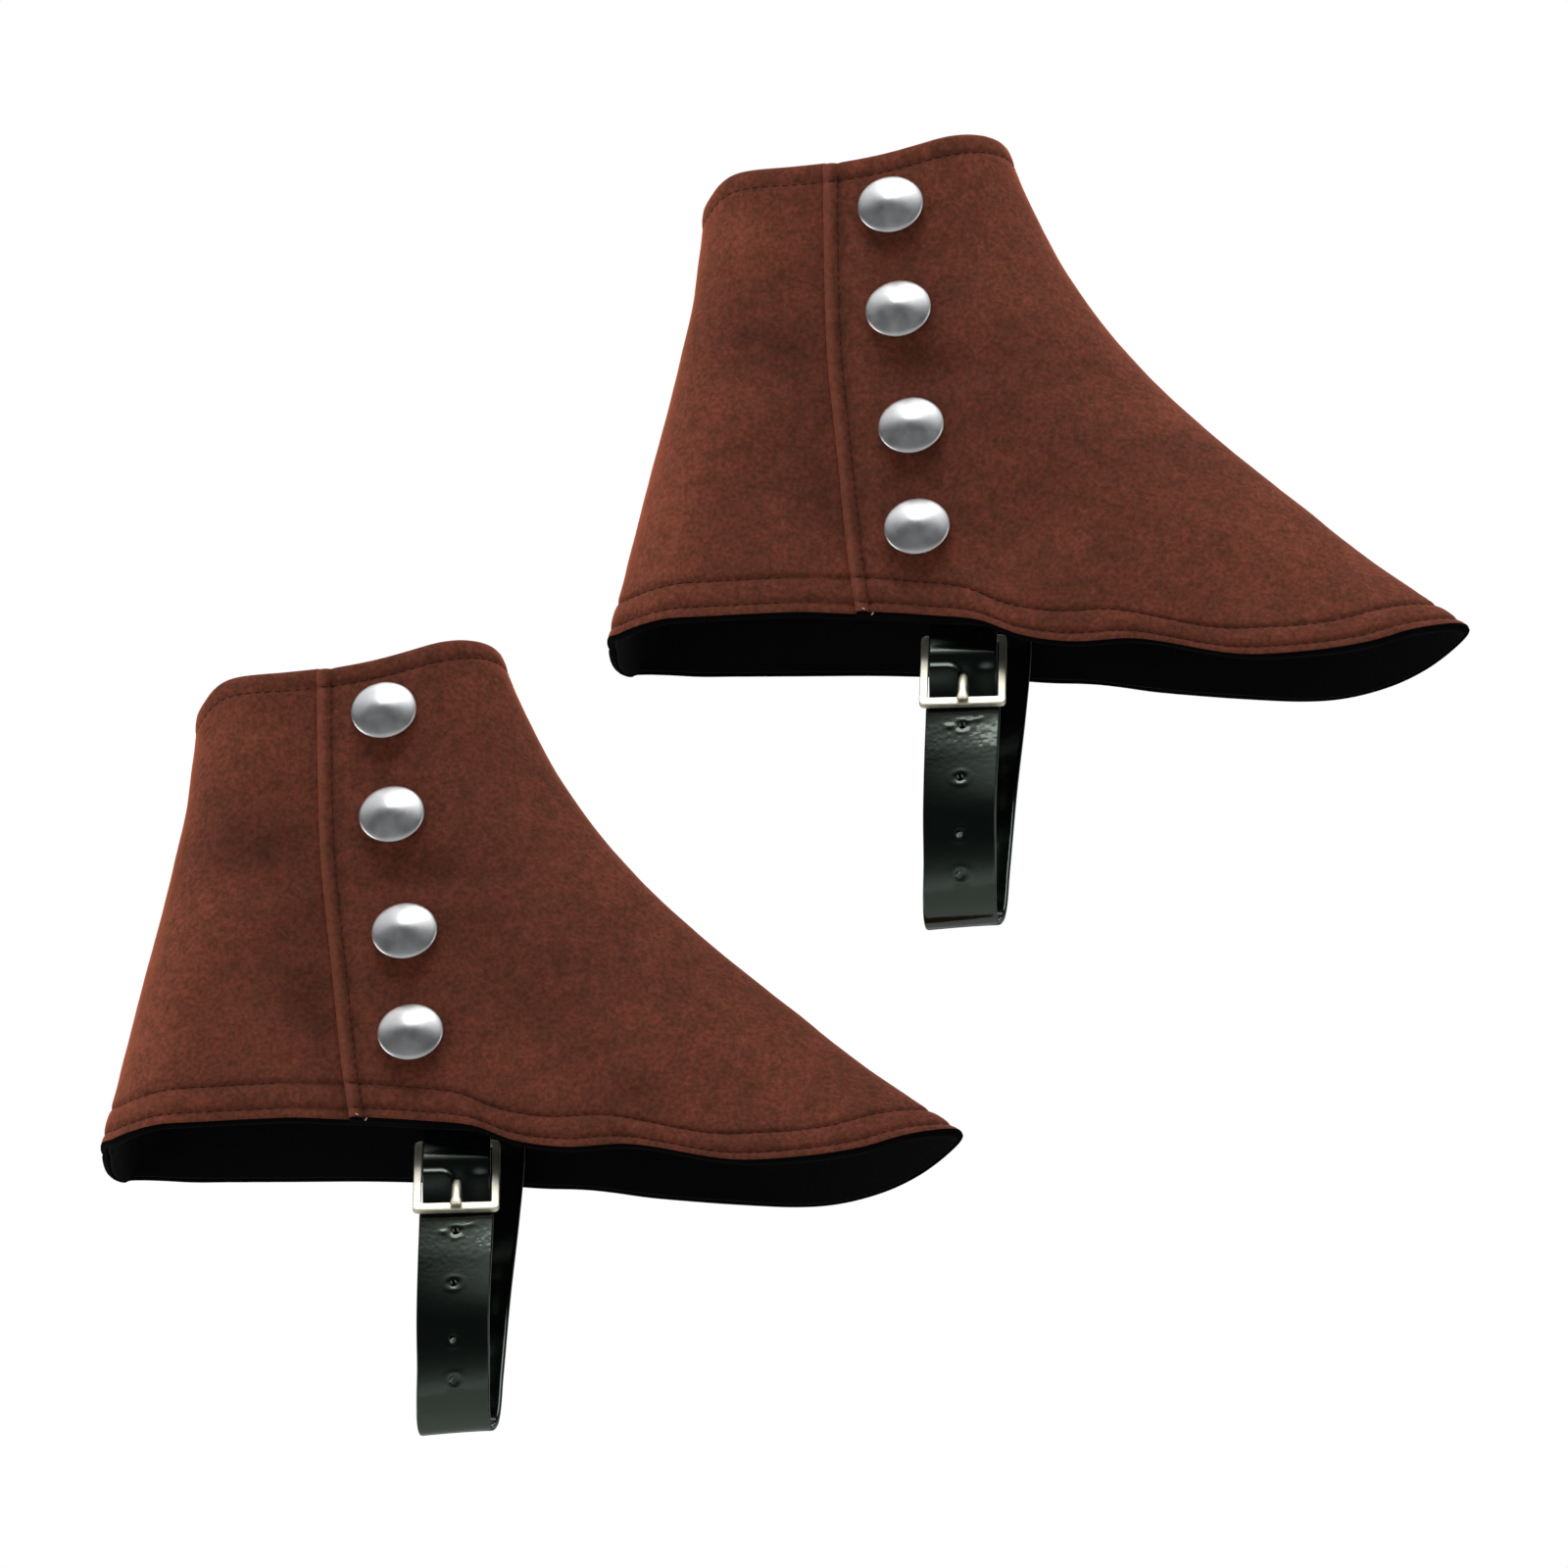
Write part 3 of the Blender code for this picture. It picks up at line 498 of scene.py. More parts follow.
shaded = add(tree, "ShaderNodeMapRange", {
    "Value": blotch.outputs["Fac"], "From Min": 0.3, "From Max": 0.7, "To Min": 0.86, "To Max": 1.12,
})
patch = add(tree, "ShaderNodeTexNoise", {"Vector": place, "Scale": 210.0, "Detail": 3.0, "Roughness": 0.6})
worn_patch = add(tree, "ShaderNodeValToRGB", {"Fac": patch.outputs["Fac"]})
worn_patch.color_ramp.elements[0].position = 0.34
worn_patch.color_ramp.elements[0].color = (0.80, 0.86, 0.80, 1.0)
worn_patch.color_ramp.elements[1].position = 0.68
worn_patch.color_ramp.elements[1].color = (1.18, 1.06, 1.11, 1.0)
# Painted light and shade kept at each point of the felt: darker patches, sewn grooves and hem edge, lighter
# patches toward the heel and the toe
painted_light_and_shade_attribute = add(tree, "ShaderNodeAttribute", attribute_name="nap")
painted_light_and_shade = add(tree, "ShaderNodeMath", {0: painted_light_and_shade_attribute.outputs["Fac"], 1: 1.0}, operation="ADD")
dye_and_painted_shade = flecked.outputs["Color"]
for mottle_and_painted_shade in (shaded.outputs["Result"], worn_patch.outputs["Color"], painted_light_and_shade.outputs["Value"]):
    tones = {"Fac": 1.0, "Color1": dye_and_painted_shade, "Color2": mottle_and_painted_shade}
    dye_and_painted_shade = add(tree, "ShaderNodeMixRGB", tones, blend_type="MULTIPLY").outputs["Color"]
# A painted highlight, partly wear, along the rolled edges: the felt is mixed toward this light orange there
rub_and_highlight_attribute = add(tree, "ShaderNodeAttribute", attribute_name="rub_and_highlight")
rub_and_highlight_colour = add(tree, "ShaderNodeMixRGB", {"Fac": rub_and_highlight_attribute.outputs["Fac"], "Color1": dye_and_painted_shade, "Color2": colour("#885040")})
tree.links.new(rub_and_highlight_colour.outputs["Color"], shader.inputs["Base Color"])
nap = add(tree, "ShaderNodeBump", {"Height": fleck.outputs["Fac"], "Strength": 0.35, "Distance": 0.35 * MM})
fuzz = add(tree, "ShaderNodeBump", {
    "Height": fibre.outputs["Fac"], "Strength": 0.30, "Distance": 0.15 * MM, "Normal": nap.outputs["Normal"],
})
tree.links.new(fuzz.outputs["Normal"], shader.inputs["Normal"])


def grained_material(name, finish, per_metre, detail, dark, light):
    """A material that wavers between two close tones, with this many grains in a metre, and its grain."""
    made, tree, shader = new_material(name, finish)
    place = add(tree, "ShaderNodeTexCoord").outputs["Object"]
    noise_at = {"Vector": place, "Scale": per_metre, "Detail": detail}
    grain = add(tree, "ShaderNodeTexNoise", noise_at).outputs["Fac"]
    shade = add(tree, "ShaderNodeValToRGB", {"Fac": grain})
    shade.color_ramp.elements[0].color = colour(dark)
    shade.color_ramp.elements[1].color = colour(light)
    tree.links.new(shade.outputs["Color"], shader.inputs["Base Color"])
    return made, tree, shader, grain


# The felt's back is bonded to a black knit, which also wraps its cut edge at the hem: dull black loops of
# 0.8 mm.
backing, tree, shader, loops = grained_material(
    "black_bonded_knit", {"Roughness": 1.0, "Specular IOR Level": 0.05}, 1300.0, 3.0, "#010101", "#070606",
)
raised = add(tree, "ShaderNodeBump", {"Height": loops, "Strength": 0.5, "Distance": 0.2 * MM})
tree.links.new(raised.outputs["Normal"], shader.inputs["Normal"])

# Radii to which the rim, the hem, the buttoned edge and the seams turn, and how deep the sewing and the
# buttons pull the felt in
RIM_TURN = 1.3
HEM_TURN = 1.2
EDGE_TURN = 1.3
SEAM_TURN = 1.1
RIM_PULL = 0.20
FRONT_RIM_PULL = 0.45
HEM_PULL = 0.55
EDGE_PULL = 0.6
BUTTON_PULL = 0.5
# How high the black wraps the hem's edge, how high the underlap is black, and the way given to points
# off the buttoned edge
BOUND = 1.15
UNDERLAP_BLACK_HEIGHT = 4.0
FAR_OFF = 99.0
# x and z of each button
BUTTONS = ((15.4, -24.5), (17.9, -59.2), (21.9, -98.2), (23.7, -131.7))


def under_front(down, x):
    """How far the back panel sinks to pass under the front one."""
    return (FELT + GAP) * ease(1.0 - (placket_x(down) - x) / SINK_OVER)


def felt_panel(name, side, around, seams, sinks=False, edge=None):
    """A felt panel with turned edges, sewn grooves and a black back, its outer points and the way out there.

    sinks sets its edge below the buttoned one. edge is how far each point lies from the buttoned edge.
    """
    face, out, down = draped(side, around, seams)
    if sinks:
        x = face[..., 0]
        sink = under_front(down, x)
        face = face - out * sink[..., None]
        shown = 1.0 - ease((x - placket_x(down)) / RIM_LIFT_FADE)
        face[..., 2] += RIM_LIFT * sink * shown * (1.0 - down) ** RIM_POWER
    run = run_along(face)
    from_rim, from_hem = run, run[-1] - run
    rim_pull = RIM_PULL if edge is None else FRONT_RIM_PULL
    # Turned edges roll in, sewn lines are pulled in and the doubled felt between them stands out
    relief = groove(from_rim, RIM_STITCH, rim_pull) + rolled(from_rim, RIM_TURN)
    relief += groove(from_hem, HEM_STITCH, HEM_PULL) + groove(from_hem, HEM_STITCH_HIGH, HEM_PULL)
    relief += rolled(from_hem, HEM_TURN)
    relief += 0.20 * hump(from_rim, 3.2, 1.8) + 0.25 * hump(from_hem, 8.6, 2.6)
    # Painted highlight, with some wear, along the rolled edges, and painted shade in the sewn grooves,
    # stronger in some places than in others
    rub_and_highlight = 0.15 * hump(from_rim, 0.0, 1.2)
    groove_shade_strength = 0.75 + uneven(face, 7.0, 0.55, 41.0)
    # Painted shade in patches over the hollows, and painted light toward the heel and the toe
    painted_light_and_shade = soft_spots(PAINTED_LIGHT_AND_SHADE_PATCHES, face[..., 0], face[..., 2], side)
    # Painted shade in the sewn grooves below the rim and above the hem, stronger in some places than in
    # others
    painted_light_and_shade += groove(from_rim, RIM_STITCH, rim_pull * 0.7, 1.5) * groove_shade_strength
    painted_light_and_shade += (groove(from_hem, HEM_STITCH, 0.34, 1.4) + groove(from_hem, HEM_STITCH_HIGH, 0.36, 1.5)) * groove_shade_strength
    # Painted shade along the hem's lower edge, where the felt turns under, away from the light
    painted_light_and_shade -= 0.40 * hump(from_hem, 0.0, 1.7)
    for seam in seams:
        seam_y = np.abs(face[..., 1])
        relief += rolled(np.hypot(seam_y, (face[..., 0] - face[:, seam, 0][:, None]) * 0.2), SEAM_TURN)
    if edge is not None:
        relief += groove(edge, EDGE_STITCH, EDGE_PULL) + rolled(edge, EDGE_TURN) + 0.40 * hump(edge, 2.2, 1.8)
        # A painted highlight, partly wear, on the buttoned edge's fold
        rub_and_highlight += 0.30 * hump(edge, 1.2, 1.2)
        # Painted shade in the edge stitching's groove, and a painted shadow just beside it
        painted_light_and_shade += groove(edge, EDGE_STITCH, 0.34, 1.3) * groove_shade_strength - 0.12 * hump(edge, 6.4, 1.6)
        for x, z in BUTTONS:
            relief -= BUTTON_PULL * hump(np.hypot(face[..., 0] - x, face[..., 2] - z), 0.0, 9.0)
    relief += uneven(face, 16.0, 0.22, 3.0) + uneven(face, 5.0, 0.07, 11.0)
    inner = face - out * FELT
    outer = face + out * relief[..., None]
    panel = cloth(name, outer, inner, side)
    # The felt's painted highlight and its painted light and shade, kept for the material
    store(panel, "rub_and_highlight", np.concatenate([rub_and_highlight.ravel(), np.zeros(rub_and_highlight.size)]))
    store(panel, "nap", np.concatenate([painted_light_and_shade.ravel(), painted_light_and_shade.ravel()]))
    panel.data.materials.append(felt)
    panel.data.materials.append(backing)
    black = from_hem < BOUND
    if sinks:
        black |= (face[..., 0] > placket_x(down)) & (from_hem < UNDERLAP_BLACK_HEIGHT)
    black = np.concatenate([black.ravel(), np.ones(black.size, bool)])
    for polygon in panel.data.polygons:
        polygon.material_index = int(all(black[i] for i in polygon.vertices))
    return panel, outer, out


past_edge = around_at(FINE, placket_x(FINE) + EDGE_COLUMNS[-1])[:, None]
front_around = np.concatenate([
    around_at(FINE[:, None], placket_x(FINE)[:, None] + EDGE_COLUMNS),
    past_edge + (1.0 - past_edge) * np.linspace(0.0, 1.0, FRONT_COLUMNS + 1)[1:],
], axis=1)
front_edge = np.tile(np.concatenate([EDGE_COLUMNS, np.full(FRONT_COLUMNS, FAR_OFF)]), (ALL_ROWS, 1))
back_around = around_at(FINE, placket_x(FINE) + UNDERLAP)[:, None] * np.linspace(0.0, 1.0, BACK_COLUMNS)
inner_around = np.tile(np.linspace(0.0, 1.0, INNER_COLUMNS), (len(FINE), 1))

front, front_face, front_out = felt_panel("outer_front_felt", -1, front_around, (-1,), edge=front_edge)
back, back_face, back_out = felt_panel("outer_back_felt", -1, back_around, (0,), sinks=True)
inner, inner_face, inner_out = felt_panel("inner_side_felt", 1, inner_around, (0, -1))
for panel, node, flat, area in (
    (front, "outer_front", (0.215, 0.195), 0.0205),
    (back, "outer_back", (0.125, 0.170), 0.0147),
    (inner, "inner_side", (0.300, 0.195), 0.0307),
):
    for piece in for_both(panel, "felt", node):
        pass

# Lining: thin black cotton twill under the felt, one panel a side, caught at the rim and the hem. It
# shows through the openings.
twill, tree, shader = new_material("black_cotton_twill", {"Roughness": 0.92, "Specular IOR Level": 0.10})
cut = add(tree, "ShaderNodeUVMap").outputs["UV"]
# Twill lines are drawn coarser than the real ones, so that they show
TWILL_SPACING = 0.9
turned = add(tree, "ShaderNodeMapping", {"Vector": cut, "Rotation": (0.0, 0.0, math.radians(45.0))})
weave = add(tree, "ShaderNodeTexWave", {
    "Vector": turned.outputs["Vector"], "Scale": 2.0 / (TWILL_SPACING * MM * math.tau),
    "Distortion": 0.6, "Detail": 1.0,
})
shade = add(tree, "ShaderNodeValToRGB", {"Fac": weave.outputs["Fac"]})
shade.color_ramp.elements[0].color = colour("#020202")
shade.color_ramp.elements[1].color = colour("#0b0a0b")
tree.links.new(shade.outputs["Color"], shader.inputs["Base Color"])
raised = add(tree, "ShaderNodeBump", {"Height": weave.outputs["Fac"], "Strength": 0.4, "Distance": 0.12 * MM})
tree.links.new(raised.outputs["Normal"], shader.inputs["Normal"])

# Past the underlap the lining stays down for the hold and then comes up over the rise
LINING_HOLD = 3.0
LINING_RISE = 12.0
LINING_ROWS = np.array((0.7, 1.6, 3.0))
LINING_MIDDLE_ROWS = 56
LINING_COLUMNS = 88


def lining_depth(down, x):
    """The lining lies under both layers of the placket, and rises again past the underlap."""
    past = x - placket_x(down) - UNDERLAP - LINING_HOLD
    return FELT + GAP + under_front(down, x) * (1.0 - ease(past / LINING_RISE))


def lining_panel(name, side, depth_of, node):
    around = np.tile(np.linspace(0.0, 1.0, LINING_COLUMNS), (len(FINE), 1))
    face, out, down = draped(side, around, (0, -1), LINING_ROWS, LINING_ROWS, LINING_MIDDLE_ROWS)
    face = face - out * depth_of(down, face[..., 0])[..., None]
    slack = np.minimum(uneven(face, 14.0, 0.5, 23.0) + uneven(face, 6.0, 0.12, 31.0), 0.05)
    face = face + out * slack[..., None]
    sheet = cloth(name, face, face - out * LINING, side)
    sheet.data.materials.append(twill)
    for piece in for_both(sheet, "lining", node):
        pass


lining_panel("buttoned_lining", -1, lining_depth, "lining_outer")
lining_panel("inner_lining", 1, lambda down, x: np.full(x.shape, FELT + GAP), "lining_inner")

# Sewing: one row of lockstitch below the rim, two above the hem and one beside the buttoned edge, in dark
# brown polyester thread. Each stitch is 2.1 mm long and lies in the groove that it has pulled.
thread, *_ = grained_material(
    "brown_polyester_thread", {"Roughness": 0.9, "Specular IOR Level": 0.1},
    2500.0, 1.0, "#2a160f", "#3a2016",
)

# From one stitch to the next, and a stitch's half length, width and height
STITCH_PITCH = 3.0
STITCH_HALF = (1.05, 0.22, 0.15)
bpy.ops.object.select_all(action="DESELECT")
bpy.ops.mesh.primitive_uv_sphere_add(segments=6, ring_count=5, radius=1.0)
bead = bpy.context.active_object
bead.data.transform(Matrix.Rotation(math.radians(90.0), 4, "Y"))
bead_points = np.array([v.co[:] for v in bead.data.vertices]) * STITCH_HALF
bead_faces = [tuple(p.vertices) for p in bead.data.polygons]
bpy.data.objects.remove(bead)


def threads(name, beads, material):
    """One piece from many little lengths of thread, each with its own bead's points, for both covers."""
    faces = [tuple(k + n * len(bead_points) for k in face) for n in range(len(beads)) for face in bead_faces]
    mesh = bpy.data.meshes.new(name)
    mesh.from_pydata((np.concatenate(beads) * MM).tolist(), [], faces)
    mesh.shade_smooth()
    mesh.materials.append(material)
    piece = bpy.data.objects.new(name, mesh)
    bpy.context.scene.collection.objects.link(piece)
    for_both(piece, "felt")


def stitches(lines):
    """Stitches at an even pitch along lines of points, each with the way out of the cloth at its points."""
    beads = []
    for line, out in lines:
        run = run_along(line)
        count = int(run[-1] / STITCH_PITCH)
        for i in range(count):
            at = (i + 0.5) * run[-1] / count
            middle = np.array([np.interp(at, run, line[:, k]) for k in range(3)])
            ahead = np.array([np.interp(at + 1.0, run, line[:, k]) for k in range(3)])
            behind = np.array([np.interp(at - 1.0, run, line[:, k]) for k in range(3)])
            up = np.array([np.interp(at, run, out[:, k]) for k in range(3)])
            tangent = (ahead - behind) / np.linalg.norm(ahead - behind)
            side_way = np.cross(up, tangent)
            side_way /= np.linalg.norm(side_way)
            up = np.cross(tangent, side_way)
            beads.append(bead_points @ np.stack([tangent, side_way, up]) + middle)
    return beads


# Where the rows of sewing start on the front panel, and where the back one's end, under the buttoned edge
FRONT_FIRST = 3
EDGE_FIRST = 6
BACK_LAST = 54
rim_row = list(RIM_ROWS).index(RIM_STITCH)
hem_row = ALL_ROWS - 1 - list(HEM_ROWS).index(HEM_STITCH)
hem_row_high = ALL_ROWS - 1 - list(HEM_ROWS).index(HEM_STITCH_HIGH)
edge_column = list(EDGE_COLUMNS).index(EDGE_STITCH)
lines = []
for row in (rim_row, hem_row, hem_row_high):
    lines.append((front_face[row, FRONT_FIRST:], front_out[row, FRONT_FIRST:]))
    lines.append((back_face[row, :BACK_LAST], back_out[row, :BACK_LAST]))
    lines.append((inner_face[row], inner_out[row]))
lines.append((front_face[EDGE_FIRST:, edge_column], front_out[EDGE_FIRST:, edge_column]))
threads("stitching", stitches(lines), thread)

# Two loose ends of undyed basting thread are left at the foot of the buttoned edge.
cotton, *_ = grained_material("undyed_basting_thread", {"Roughness": 0.8}, 3000.0, 2.0, "#a88a70", "#d8c2a4")
# How far each end lies from the buttoned edge and from the hem, and its turn in degrees
ENDS = ((2.2, 1.6, 30.0), (5.4, 0.5, -50.0))
beads = []
for from_edge, from_hem, degrees in ENDS:
    column = int(np.argmin(np.abs(EDGE_COLUMNS - from_edge)))
    row = len(front_face) - 1 - int(np.argmin(np.abs(HEM_ROWS - from_hem)))
    turn = Matrix.Rotation(math.radians(degrees), 3, "Y")
    for lift, size in ((0.1, 1.0), (0.35, 0.7)):
        shaped = np.array([turn @ Vector(p) for p in bead_points * (0.62 * size, 1.3 * size, 1.3 * size)])
        beads.append(shaped + front_face[row, column] + front_out[row, column] * lift)
threads("thread_ends", beads, cotton)

# Buttons: four domes a cover, pressed from steel with a rolled lip and nickel plated to a soft, slightly
# cloudy shine. Each stands on a short shank through the felt.
nickel, tree, shader, tarnish = grained_material(
    "polished_nickel_plate", {"Metallic": 1.0}, 260.0, 3.0, "#a3a4a6", "#c6c7c8",
)
dull = add(tree, "ShaderNodeMapRange", {
    "Value": tarnish, "From Min": 0.3, "From Max": 0.7, "To Min": 0.34, "To Max": 0.40,
})
tree.links.new(dull.outputs["Result"], shader.inputs["Roughness"])
place = add(tree, "ShaderNodeTexCoord").outputs["Object"]
grain = add(tree, "ShaderNodeTexNoise", {"Vector": place, "Scale": 1500.0, "Detail": 2.0}).outputs["Fac"]
raised = add(tree, "ShaderNodeBump", {"Height": grain, "Strength": 0.03, "Distance": 0.05 * MM})
tree.links.new(raised.outputs["Normal"], shader.inputs["Normal"])

# The dome's height is from its foot, and it tips to face up a little
CAP_RADIUS = 10.2
CAP_DOME = 3.8
DOME_FOOT = 2.6
CAP_TILT = math.radians(11.0)
# How steep the pressed dome is, in degrees, at these radii: a shallow cone with a soft point and a round
# shoulder
DOME_SLOPE = np.array((
    (0.0, 0.0), (1.0, 8.0), (2.2, 15.5), (3.6, 19.5), (5.4, 21.5), (7.2, 22.5), (8.6, 23.5), (9.5, 28.0),
    (9.9, 38.0), (CAP_RADIUS, 55.0),
))
# Radius and height of the turned profile, from the foot of the shank to the lip, and then up over the dome
profile = [(3.6, -1.2), (3.5, 1.9), (4.4, 2.0), (8.6, 2.0), (9.5, 1.85), (9.95, 1.95)]
profile += [(CAP_RADIUS, 2.25), (CAP_RADIUS, 2.5)]
radii = np.array((CAP_RADIUS, 10.05, 9.8, 9.4, 8.9, 8.2, 7.4, 6.5, 5.6, 4.7, 3.8, 3.0, 2.2, 1.5, 0.9, 0.4))
slopes = np.tan(np.radians(np.interp(radii, DOME_SLOPE[:, 0], DOME_SLOPE[:, 1])))
climb = np.concatenate([[0.0], np.cumsum(-np.diff(radii) * (slopes[1:] + slopes[:-1]) / 2)])
climb *= CAP_DOME / climb[-1]
profile += [(r, DOME_FOOT + h) for r, h in zip(radii[1:], climb[1:])]

bpy.ops.object.select_all(action="DESELECT")
bpy.ops.mesh.primitive_circle_add(
    vertices=72, radius=profile[0][0] * MM, fill_type="NGON", location=(0.0, 0.0, profile[0][1] * MM),
)
dome = bpy.context.active_object
bpy.ops.object.transform_apply(location=True)
bpy.ops.object.mode_set(mode="EDIT")
bpy.ops.mesh.select_all(action="SELECT")
for (radius, height), (wider, higher) in zip(profile, profile[1:]):
    bpy.ops.mesh.extrude_region_move(TRANSFORM_OT_translate={"value": (0.0, 0.0, (higher - height) * MM)})
    bpy.ops.transform.resize(value=(wider / radius, wider / radius, 1.0))
bpy.ops.mesh.select_all(action="SELECT")
bpy.ops.mesh.normals_make_consistent(inside=False)
bpy.ops.object.mode_set(mode="OBJECT")
bpy.ops.object.shade_smooth_by_angle(angle=math.radians(55))
dome.data.materials.append(nickel)


def seat_on_side(side, x, z):
    """A side's point at x and z and the way out there."""
    low, high = 0.0, 1.0
    halvings = 30
    for _ in range(halvings):
        down = (low + high) / 2
        if on_form(down, around_at(down, x), side)[2] > z:
            low = down
        else:
            high = down
    at = around_at(down, x)
    step = 0.004
    across = Vector(on_form(down, at + step, side)) - Vector(on_form(down, at - step, side))
    along = Vector(on_form(down + step, at, side)) - Vector(on_form(down - step, at, side))
    return Vector(on_form(down, at, side)), (across.cross(along) * side).normalized()


for number, (x, z) in enumerate(BUTTONS, 1):
    seat, out = seat_on_side(-1, x, z)
    up = out.cross(Vector((1.0, 0.0, 0.0))).normalized()
    if up.z < 0:
        up = -up
    across = up.cross(out).normalized()
    tip = Matrix.Rotation(CAP_TILT, 3, across)
    if (tip @ out).z < out.z:
        tip.transpose()
    turn = Matrix((across, tip @ up, tip @ out)).transposed().to_4x4()
    button = dome.copy()
    button.data = dome.data.copy()
    button.name = f"dome_{number}"
    bpy.context.scene.collection.objects.link(button)
    button.data.transform(Matrix.Translation(seat * MM) @ turn)
    for_both(button, "cap", f"button_{number}")
bpy.data.objects.remove(dome)

# Foot strap: black patent leather, 22.8 mm wide, sewn to the lining of the far side, led under the foot
# and up through the buckle. Its gloss is a poured coat, crinkled in cells of 1.6 mm where the buckle has
# held it, and its cut edges are dyed grey.
patent, tree, shader = new_material("black_patent_leather", {
    "Roughness": 0.13, "Specular IOR Level": 0.8, "Specular Tint": colour("#dff2e3"),
})
place = add(tree, "ShaderNodeTexCoord").outputs["Object"]
grain = add(tree, "ShaderNodeTexNoise", {"Vector": place, "Scale": 380.0, "Detail": 3.0, "Roughness": 0.6})
crinkle = add(tree, "ShaderNodeTexVoronoi", {"Vector": place, "Scale": 620.0}, feature="SMOOTH_F1")
shade = add(tree, "ShaderNodeValToRGB", {"Fac": grain.outputs["Fac"]})
shade.color_ramp.elements[0].color = colour("#030504")
shade.color_ramp.elements[1].color = colour("#060b08")
tree.links.new(shade.outputs["Color"], shader.inputs["Base Color"])
creasing = add(tree, "ShaderNodeAttribute", attribute_name="crinkled")
ripple = add(tree, "ShaderNodeBump", {"Height": grain.outputs["Fac"], "Strength": 0.10, "Distance": 0.3 * MM})
crinkle_where = {0: creasing.outputs["Fac"], 1: crinkle.outputs["Distance"]}
held = add(tree, "ShaderNodeMath", crinkle_where, operation="MULTIPLY")
crinkled = add(tree, "ShaderNodeBump", {
    "Height": held.outputs["Value"], "Strength": 0.24, "Distance": 0.30 * MM,
    "Normal": ripple.outputs["Normal"],
})
tree.links.new(crinkled.outputs["Normal"], shader.inputs["Normal"])

cut_edge, *_ = grained_material("dyed_leather_edge", {"Roughness": 0.6}, 900.0, 2.0, "#4a5254", "#687072")

# The strap's size, and the place and yaw of its top, where the buckle is
STRAP_WIDTH = 22.8
STRAP_THICK = 2.0
STRAP_X = 36.4
STRAP_Y = -18.6
STRAP_YAW = 5.0
# The buckle's sides draw it in to this width above this height
STRAP_HELD = 20.8
HELD_Z = -188.5
HELD_FADE = 4.0
STRAP_ROUTE = (
    # x, y, z and the yaw of its face in degrees, from the free end to the far hem
    (36.4, -18.6, -153, 5),
    (36.4, -18.6, -165, 5),
    (36.4, -18.6, -177, 5),
    (36.4, -18.9, -188, 4),
    (36.3, -22, -205, 0),
    (36.1, -24, -224, -4),
    (36, -22.6, -240, -5),
    (35.1, -17.2, -252, -4),
    (34.8, -10.5, -255.4, -3),
    (36.1, -5, -250.6, -2),
    (36.5, 0.6, -234, -1),
    (37.4, 9, -205, -2),
    (38.9, 17.4, -176, -4),
)
# Its seam on the far lining, and the share of the way down where the near lining's depth is taken
STRAP_SEAM_X = 39.6
STRAP_SEAM_Z = (-156.0, -146.0)
STRAP_SEAM_YAW = -4.0
NEAR_HEM = 0.95
# Its free holes and the prong's
HOLES_Z = (-194.6, -212.8, -231.5, -243.8)
PRONG_HOLE_Z = -177.4
HOLE_RADIUS = 1.2
PRONG_HOLE_RADIUS = 1.7
# Columns of a strip: their way in from each edge, and the margin and the count of the even ones
STRIP_EDGE = np.array((0.0, 0.12, 0.3, 0.6))
STRIP_MARGIN = 1.1
STRIP_COLUMNS = 20


def seat_y(side, x, z, width, thick, yaw):
    """y of the middle of a flat strip that lies on the lining without cutting into it."""
    half = width / 2
    lean = math.tan(math.radians(yaw))
    faces = []
    for across in (-half, -half / 2, 0.0, half / 2, half):
        seat, out = seat_on_side(side, x + across, z)
        depth = FELT + GAP + LINING
        if side < 0:
            depth = LINING + float(lining_depth(np.array(NEAR_HEM), np.array(x + across)))
        faces.append((seat - out * depth).y - across * lean)
    return (min(faces) if side > 0 else max(faces)) - side * (GAP + thick / 2 + 0.1)


def strap_width(middle):
    """The strap is drawn in a little where the buckle's sides hold its near run."""
    held = ease((middle[:, 2] - HELD_Z) / HELD_FADE) * (middle[:, 1] < 0.0)
    return STRAP_WIDTH + (STRAP_HELD - STRAP_WIDTH) * held


def strip(rows, width, thick, step, edge, width_of=None):
    """A flat strip led along rows of x, y, z and yaw: its middle points, their lift and its way out.

    step is the way between its rows, edge the rounding of its edges, and width_of draws it in.
    """
    rows = np.array(rows, float)
    run = run_along(rows[:, :3])
    marks = np.linspace(0.0, run[-1], int(run[-1] / step) + 1)
    x, y, z, yaw = curve(np.column_stack([run, rows]), marks)
    middle = np.stack([x, y, z], -1)
    tangent = np.gradient(middle, axis=0)
    tangent /= np.linalg.norm(tangent, axis=1)[:, None]
    across = np.stack([np.cos(np.radians(yaw)), np.sin(np.radians(yaw)), np.zeros(len(yaw))], -1)
    across -= tangent * np.sum(across * tangent, axis=1)[:, None]
    across /= np.linalg.norm(across, axis=1)[:, None]
    out = np.cross(tangent, across)
    half = width / 2
    offsets = np.concatenate([
        -half + STRIP_EDGE,
        np.linspace(-half + STRIP_MARGIN, half - STRIP_MARGIN, STRIP_COLUMNS),
        half - STRIP_EDGE[::-1],
    ])
    inset = np.clip(edge - (half - np.abs(offsets)), 0.0, edge)
    dip = edge - np.sqrt(np.maximum(edge**2 - inset**2, 0.0))
    drawn_in = np.ones(len(middle)) if width_of is None else width_of(middle) / width
    centre = middle[:, None] + across[:, None] * (drawn_in[:, None] * offsets)[..., None]
    lift = (thick / 2 - dip)[None, :, None] * out[:, None]
    return centre, lift, out


